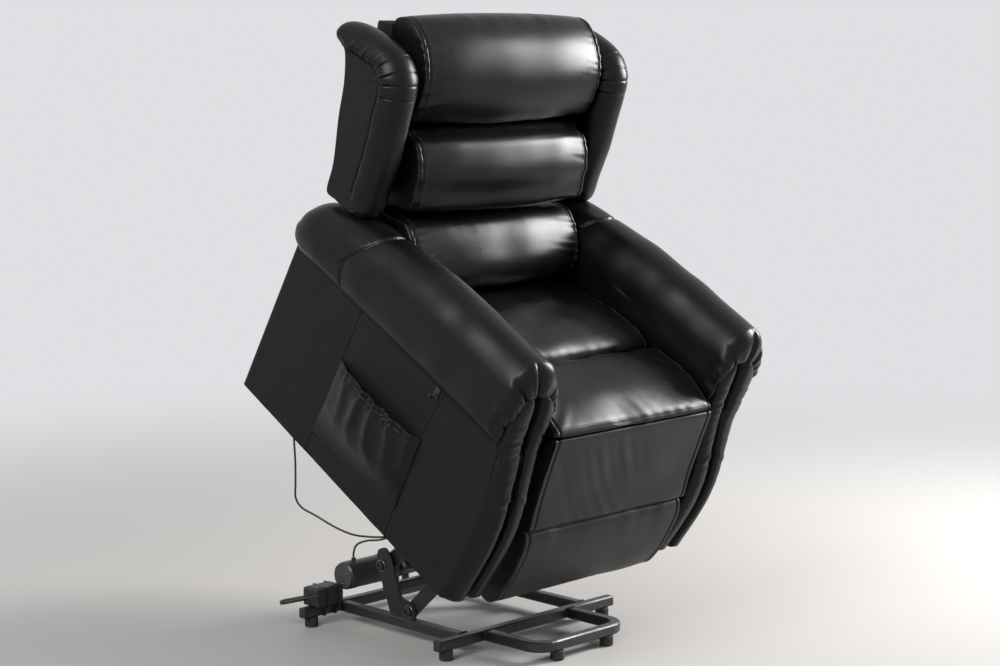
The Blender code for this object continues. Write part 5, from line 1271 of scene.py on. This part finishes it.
# ---------------------------------------------------------------------------------------------
# Back shell.  Board with a thin pad and a stretched outside cover; its corners are eased and
# two long seams run down the rear face.
# ---------------------------------------------------------------------------------------------
SHELL_WIDTHS = (0.262, 0.3557, 0.300)
SHELL_STEPS = (0.168, 0.430)
SHELL_EDGE = 0.004
SHELL_SEAM = 0.55  # share of the half width at which each long seam runs


def shell_lattice():
    """Rings up the shell, which is wider between its two steps."""
    low, middle, high = SHELL_WIDTHS
    first, second = SHELL_STEPS
    s = np.concatenate([
        [0.0, 0.0015, 0.005, 0.010], np.linspace(0.02, first - 0.012, 14),
        np.linspace(first - 0.008, first + 0.028, 9), np.linspace(first + 0.04, second - 0.012, 22),
        np.linspace(second - 0.008, second + 0.028, 9), np.linspace(second + 0.04, SHELL_HEIGHT - 0.012, 10),
        [SHELL_HEIGHT - 0.006, SHELL_HEIGHT - 0.002, SHELL_HEIGHT],
    ])
    step_up = 0.5 + 0.5 * np.tanh((s - first - 0.010) / 0.006)
    step_down = 0.5 + 0.5 * np.tanh((s - second - 0.010) / 0.006)
    half = low + (middle - low) * step_up + (high - middle) * step_down
    u = crowd(-1.0, 1.0, 70, (-SHELL_SEAM, SHELL_SEAM), 0.02)
    rings = []
    for height, wide in zip(s, half):
        ends = min(height, SHELL_HEIGHT - height)
        ease = math.sqrt(max(0.02, 1 - (1 - min(1.0, ends / 0.010)) ** 2))
        x = u * (wide - SHELL_EDGE)
        rear = SHELL_EDGE * (1 - ease) - 0.0015 + 0.0018 * notch((np.abs(u) - SHELL_SEAM) * 0.33, 0.0025)
        rear = rear - 0.0016 * crumple(x, height, 131, 0.2)
        front = np.full_like(x, SHELL_THICKNESS - SHELL_EDGE * (1 - ease))
        turn = np.linspace(-np.pi / 2, np.pi / 2, 7)[1:-1]
        side_n = SHELL_THICKNESS / 2 + (SHELL_THICKNESS / 2) * np.sin(turn)
        side_x = wide - SHELL_EDGE + SHELL_EDGE * np.cos(turn) ** 0.6
        ring_x = np.concatenate([x, side_x, x[::-1], -side_x])
        ring_n = np.concatenate([rear, side_n, front, side_n[::-1]])
        rings.append(reclined(ring_x, np.full_like(ring_x, height), ring_n))
    return np.array(rings)


shell = cover("back_shell_cover", shell_lattice(), matt_vinyl, "back")
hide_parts("back_shell")


# ---------------------------------------------------------------------------------------------
# Wings.  Flat side panels with a fat stuffed roll round their front and top edges; the roll's
# cover is pleated where it turns the upper front corner.
# ---------------------------------------------------------------------------------------------
WING_OUT = 0.400
WING_THIN = 0.022
WING_ROLL = 0.0475
WING_EDGE = (
    ((0.7805, 0.570), WING_THIN), ((0.794, 0.640), WING_THIN), ((0.830, 0.740), WING_THIN),
    ((0.8515, 0.814), WING_THIN), ((0.880, 0.872), WING_THIN), ((0.902, 0.882), 0.026),
    ((0.924, 0.887), 0.030), ((0.937, 0.905), 0.034), ((0.925, 0.930), 0.040), ((0.880, 0.947), WING_ROLL),
    ((0.808, 0.956), WING_ROLL), ((0.748, 0.950), WING_ROLL), ((0.702, 0.919), WING_ROLL),
    ((0.681, 0.872), WING_ROLL), ((0.667, 0.800), WING_ROLL), ((0.653, 0.725), WING_ROLL),
    ((0.647, 0.655), WING_ROLL), ((0.642, 0.592), 0.045), ((0.664, 0.568), 0.036),
    ((0.700, 0.566), WING_THIN), ((0.740, 0.566), WING_THIN),
)
WING_PLEATS = ((0.745, 0.949), (0.713, 0.925), (0.694, 0.899), (0.680, 0.868))
WING_SEAM = 1.28  # the sewn groove behind the roll, in roll radii from the edge
WING_PANEL = 0.006  # how far the flat panel lies in from the roll's outer side
WING_INSIDE = WING_OUT - 2 * WING_THIN
WING_SPINE = np.array([[0.742, 0.630], [0.806, 0.846]])  # the middle line that the flat panel closes on
WING_STEPS = np.concatenate([
    1 - np.cos(np.linspace(0, np.pi / 2, 14)),
    [1.04, 1.08, 1.12, 1.16, 1.19, 1.215, 1.235, 1.25, 1.265, 1.28, 1.295, 1.315, 1.35, 1.42],
])


def wing_outline():
    """The wing's edge as (y, z, roll radius), spaced 3 mm apart and closer at the pleat seams."""
    dense = loop_through([(y, z, radius) for (y, z), radius in WING_EDGE], 1600)
    gap = np.min([np.hypot(dense[:, 0] - y, dense[:, 1] - z) for y, z in WING_PLEATS], axis=0)
    keep = [0]
    steps = np.linalg.norm(np.diff(dense[:, :2], axis=0), axis=1)
    run = 0.0
    for i, step in enumerate(steps, 1):
        run += step
        if run > (0.0009 if gap[i] < 0.006 else 0.0032):
            keep.append(i)
            run = 0.0
    return dense[keep]


def wing_inward(outline):
    """Smoothed directions from the wing's edge towards its middle."""
    tangent = np.roll(outline, -1, 0) - np.roll(outline, 1, 0)
    tangent /= np.linalg.norm(tangent, axis=1, keepdims=True)
    inward = np.stack([-tangent[:, 1], tangent[:, 0]], axis=-1)
    for _ in range(12):
        inward = (np.roll(inward, 1, 0) + inward + np.roll(inward, -1, 0)) / 3
    return inward / np.linalg.norm(inward, axis=1, keepdims=True)


def wing_gathers(outline, run):
    """Along the edge: the pleat seams, the puff between them and the gathered top band."""
    marks = [run[int(np.argmin(np.hypot(outline[:, 0] - y, outline[:, 1] - z)))] for y, z in WING_PLEATS]
    seams = sum(notch(run - at, 0.0022) for at in marks)
    puff = ramp(run - min(marks) + 0.01, 0.02) * ramp(max(marks) + 0.01 - run, 0.02)
    top_band = ramp(0.905 - outline[:, 0], 0.03) * ramp(outline[:, 0] - 0.750, 0.03)
    return seams, puff, top_band * (outline[:, 1] > 0.90)


def wing_sides(step, radius, fat):
    """x of the wing's outer and inner side, a step of so many roll radii in from its edge."""
    round_off = rounding(step, 1.0)
    centre = WING_OUT - radius
    past = max(0.0, step - 1.0)
    if step < 1.0:
        x_out = centre + radius * round_off - WING_PANEL * (1 - fat)
        x_in = centre - radius * round_off
    else:
        tuck = min(WING_PANEL, 0.009 * (past / 0.28) ** 2) if step < WING_SEAM else WING_PANEL
        x_out = WING_OUT - tuck * fat - WING_PANEL * (1 - fat)
        fall = 0.5 + 0.5 * math.cos(math.pi * min(1.0, past / 0.7))
        inner_full = WING_INSIDE - 2 * (radius - WING_THIN)
        x_in = WING_INSIDE + (inner_full - WING_INSIDE) * fall
    return x_out - 0.0060 * fat * notch(step - WING_SEAM, 0.040), x_in


def wing_rings(side_seed):
    """The wing's rings of (x, y, z) from the middle of its inner side over the edge to the outer."""
    rows = wing_outline()
    outline, radius = rows[:, :2], rows[:, 2]
    inward = wing_inward(outline)
    fat = ramp(radius - WING_THIN, WING_ROLL - WING_THIN)
    run = running(outline)
    seams, puff, top_band = wing_gathers(outline, run)
    outer, inner = [], []
    for step in WING_STEPS:
        at = outline + inward * (radius * step * (0.35 + 0.65 * fat))[:, None]
        x_out, x_in = wing_sides(step, radius, fat)
        shape = notch(step - 0.75, 0.55) * fat * (0.0034 * puff * (1 - seams) - 0.0042 * seams)
        shape = shape + 0.0036 * notch(step - 1.10, 0.34) * top_band * ripple(run + 0.004 * step, 145, 0.020)
        shape = shape + 0.0012 * fat * ripple(run + 0.02 * step, side_seed, 0.09) * min(1.0, step)
        flat = math.sin(min(step, 1.0) * math.pi / 2)
        at = at + inward * (-shape * (1 - flat))[:, None]
        outer.append(np.stack([x_out + shape * flat, at[:, 0], at[:, 1]], axis=-1))
        inner.append(np.stack([x_in - shape * flat, at[:, 0], at[:, 1]], axis=-1))
    ring_end = outer[-1][:, 1:]
    spine = WING_SPINE[1] - WING_SPINE[0]
    share = np.round(48 * np.clip((ring_end - WING_SPINE[0]) @ spine / (spine @ spine), 0, 1)) / 48
    target = WING_SPINE[0] + share[:, None] * spine
    for pull in (0.12, 0.30, 0.50, 0.70, 0.86, 1.0):
        at = ring_end + (target - ring_end) * pull
        bow = 0.0008 * pull * crumple(at[:, 0], at[:, 1], 151, 0.12)
        outer.append(np.stack([WING_OUT - WING_PANEL + bow, at[:, 0], at[:, 1]], axis=-1))
        inner.append(np.stack([WING_INSIDE - bow, at[:, 0], at[:, 1]], axis=-1))
    return np.array(inner[::-1] + outer[1:]), len(inner)


def wing(side, sign):
    """One wing: vinyl all over, but matt on the flat panel inside the outer groove."""
    rings, inner_count = wing_rings(141 + (sign > 0))
    points = chair(sign * rings[..., 0], rings[..., 1], rings[..., 2])
    obj = cover(f"wing_cover_{side}", points, vinyl, "back", closed_ends=False)
    obj.data.materials.append(matt_vinyl)
    panel_start = inner_count - 1 + int(np.argmax(WING_STEPS > WING_SEAM))
    bm = bmesh.new()
    bm.from_mesh(obj.data)
    for face in bm.faces:
        face.material_index = int(face.index // points.shape[1] >= panel_start)
    bmesh.ops.remove_doubles(bm, verts=bm.verts, dist=0.00005)
    bm.to_mesh(obj.data)
    bm.free()
    upholster(obj, f"wing_{side}")


for side, sign in SIDES:
    wing(side, sign)


# ---------------------------------------------------------------------------------------------
# Rear skirt panel: board with a stretched cover, closed along its lower edge with a fold.
# ---------------------------------------------------------------------------------------------
rear_low, rear_high = 0.7778, 0.7986
skirt = cover("rear_panel_cover", lattice_box(-0.2852, 0.2852, rear_low, rear_high, 0.001, 0.3945, 0.005),
              matt_vinyl, "chair_body")
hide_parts("rear_panel")
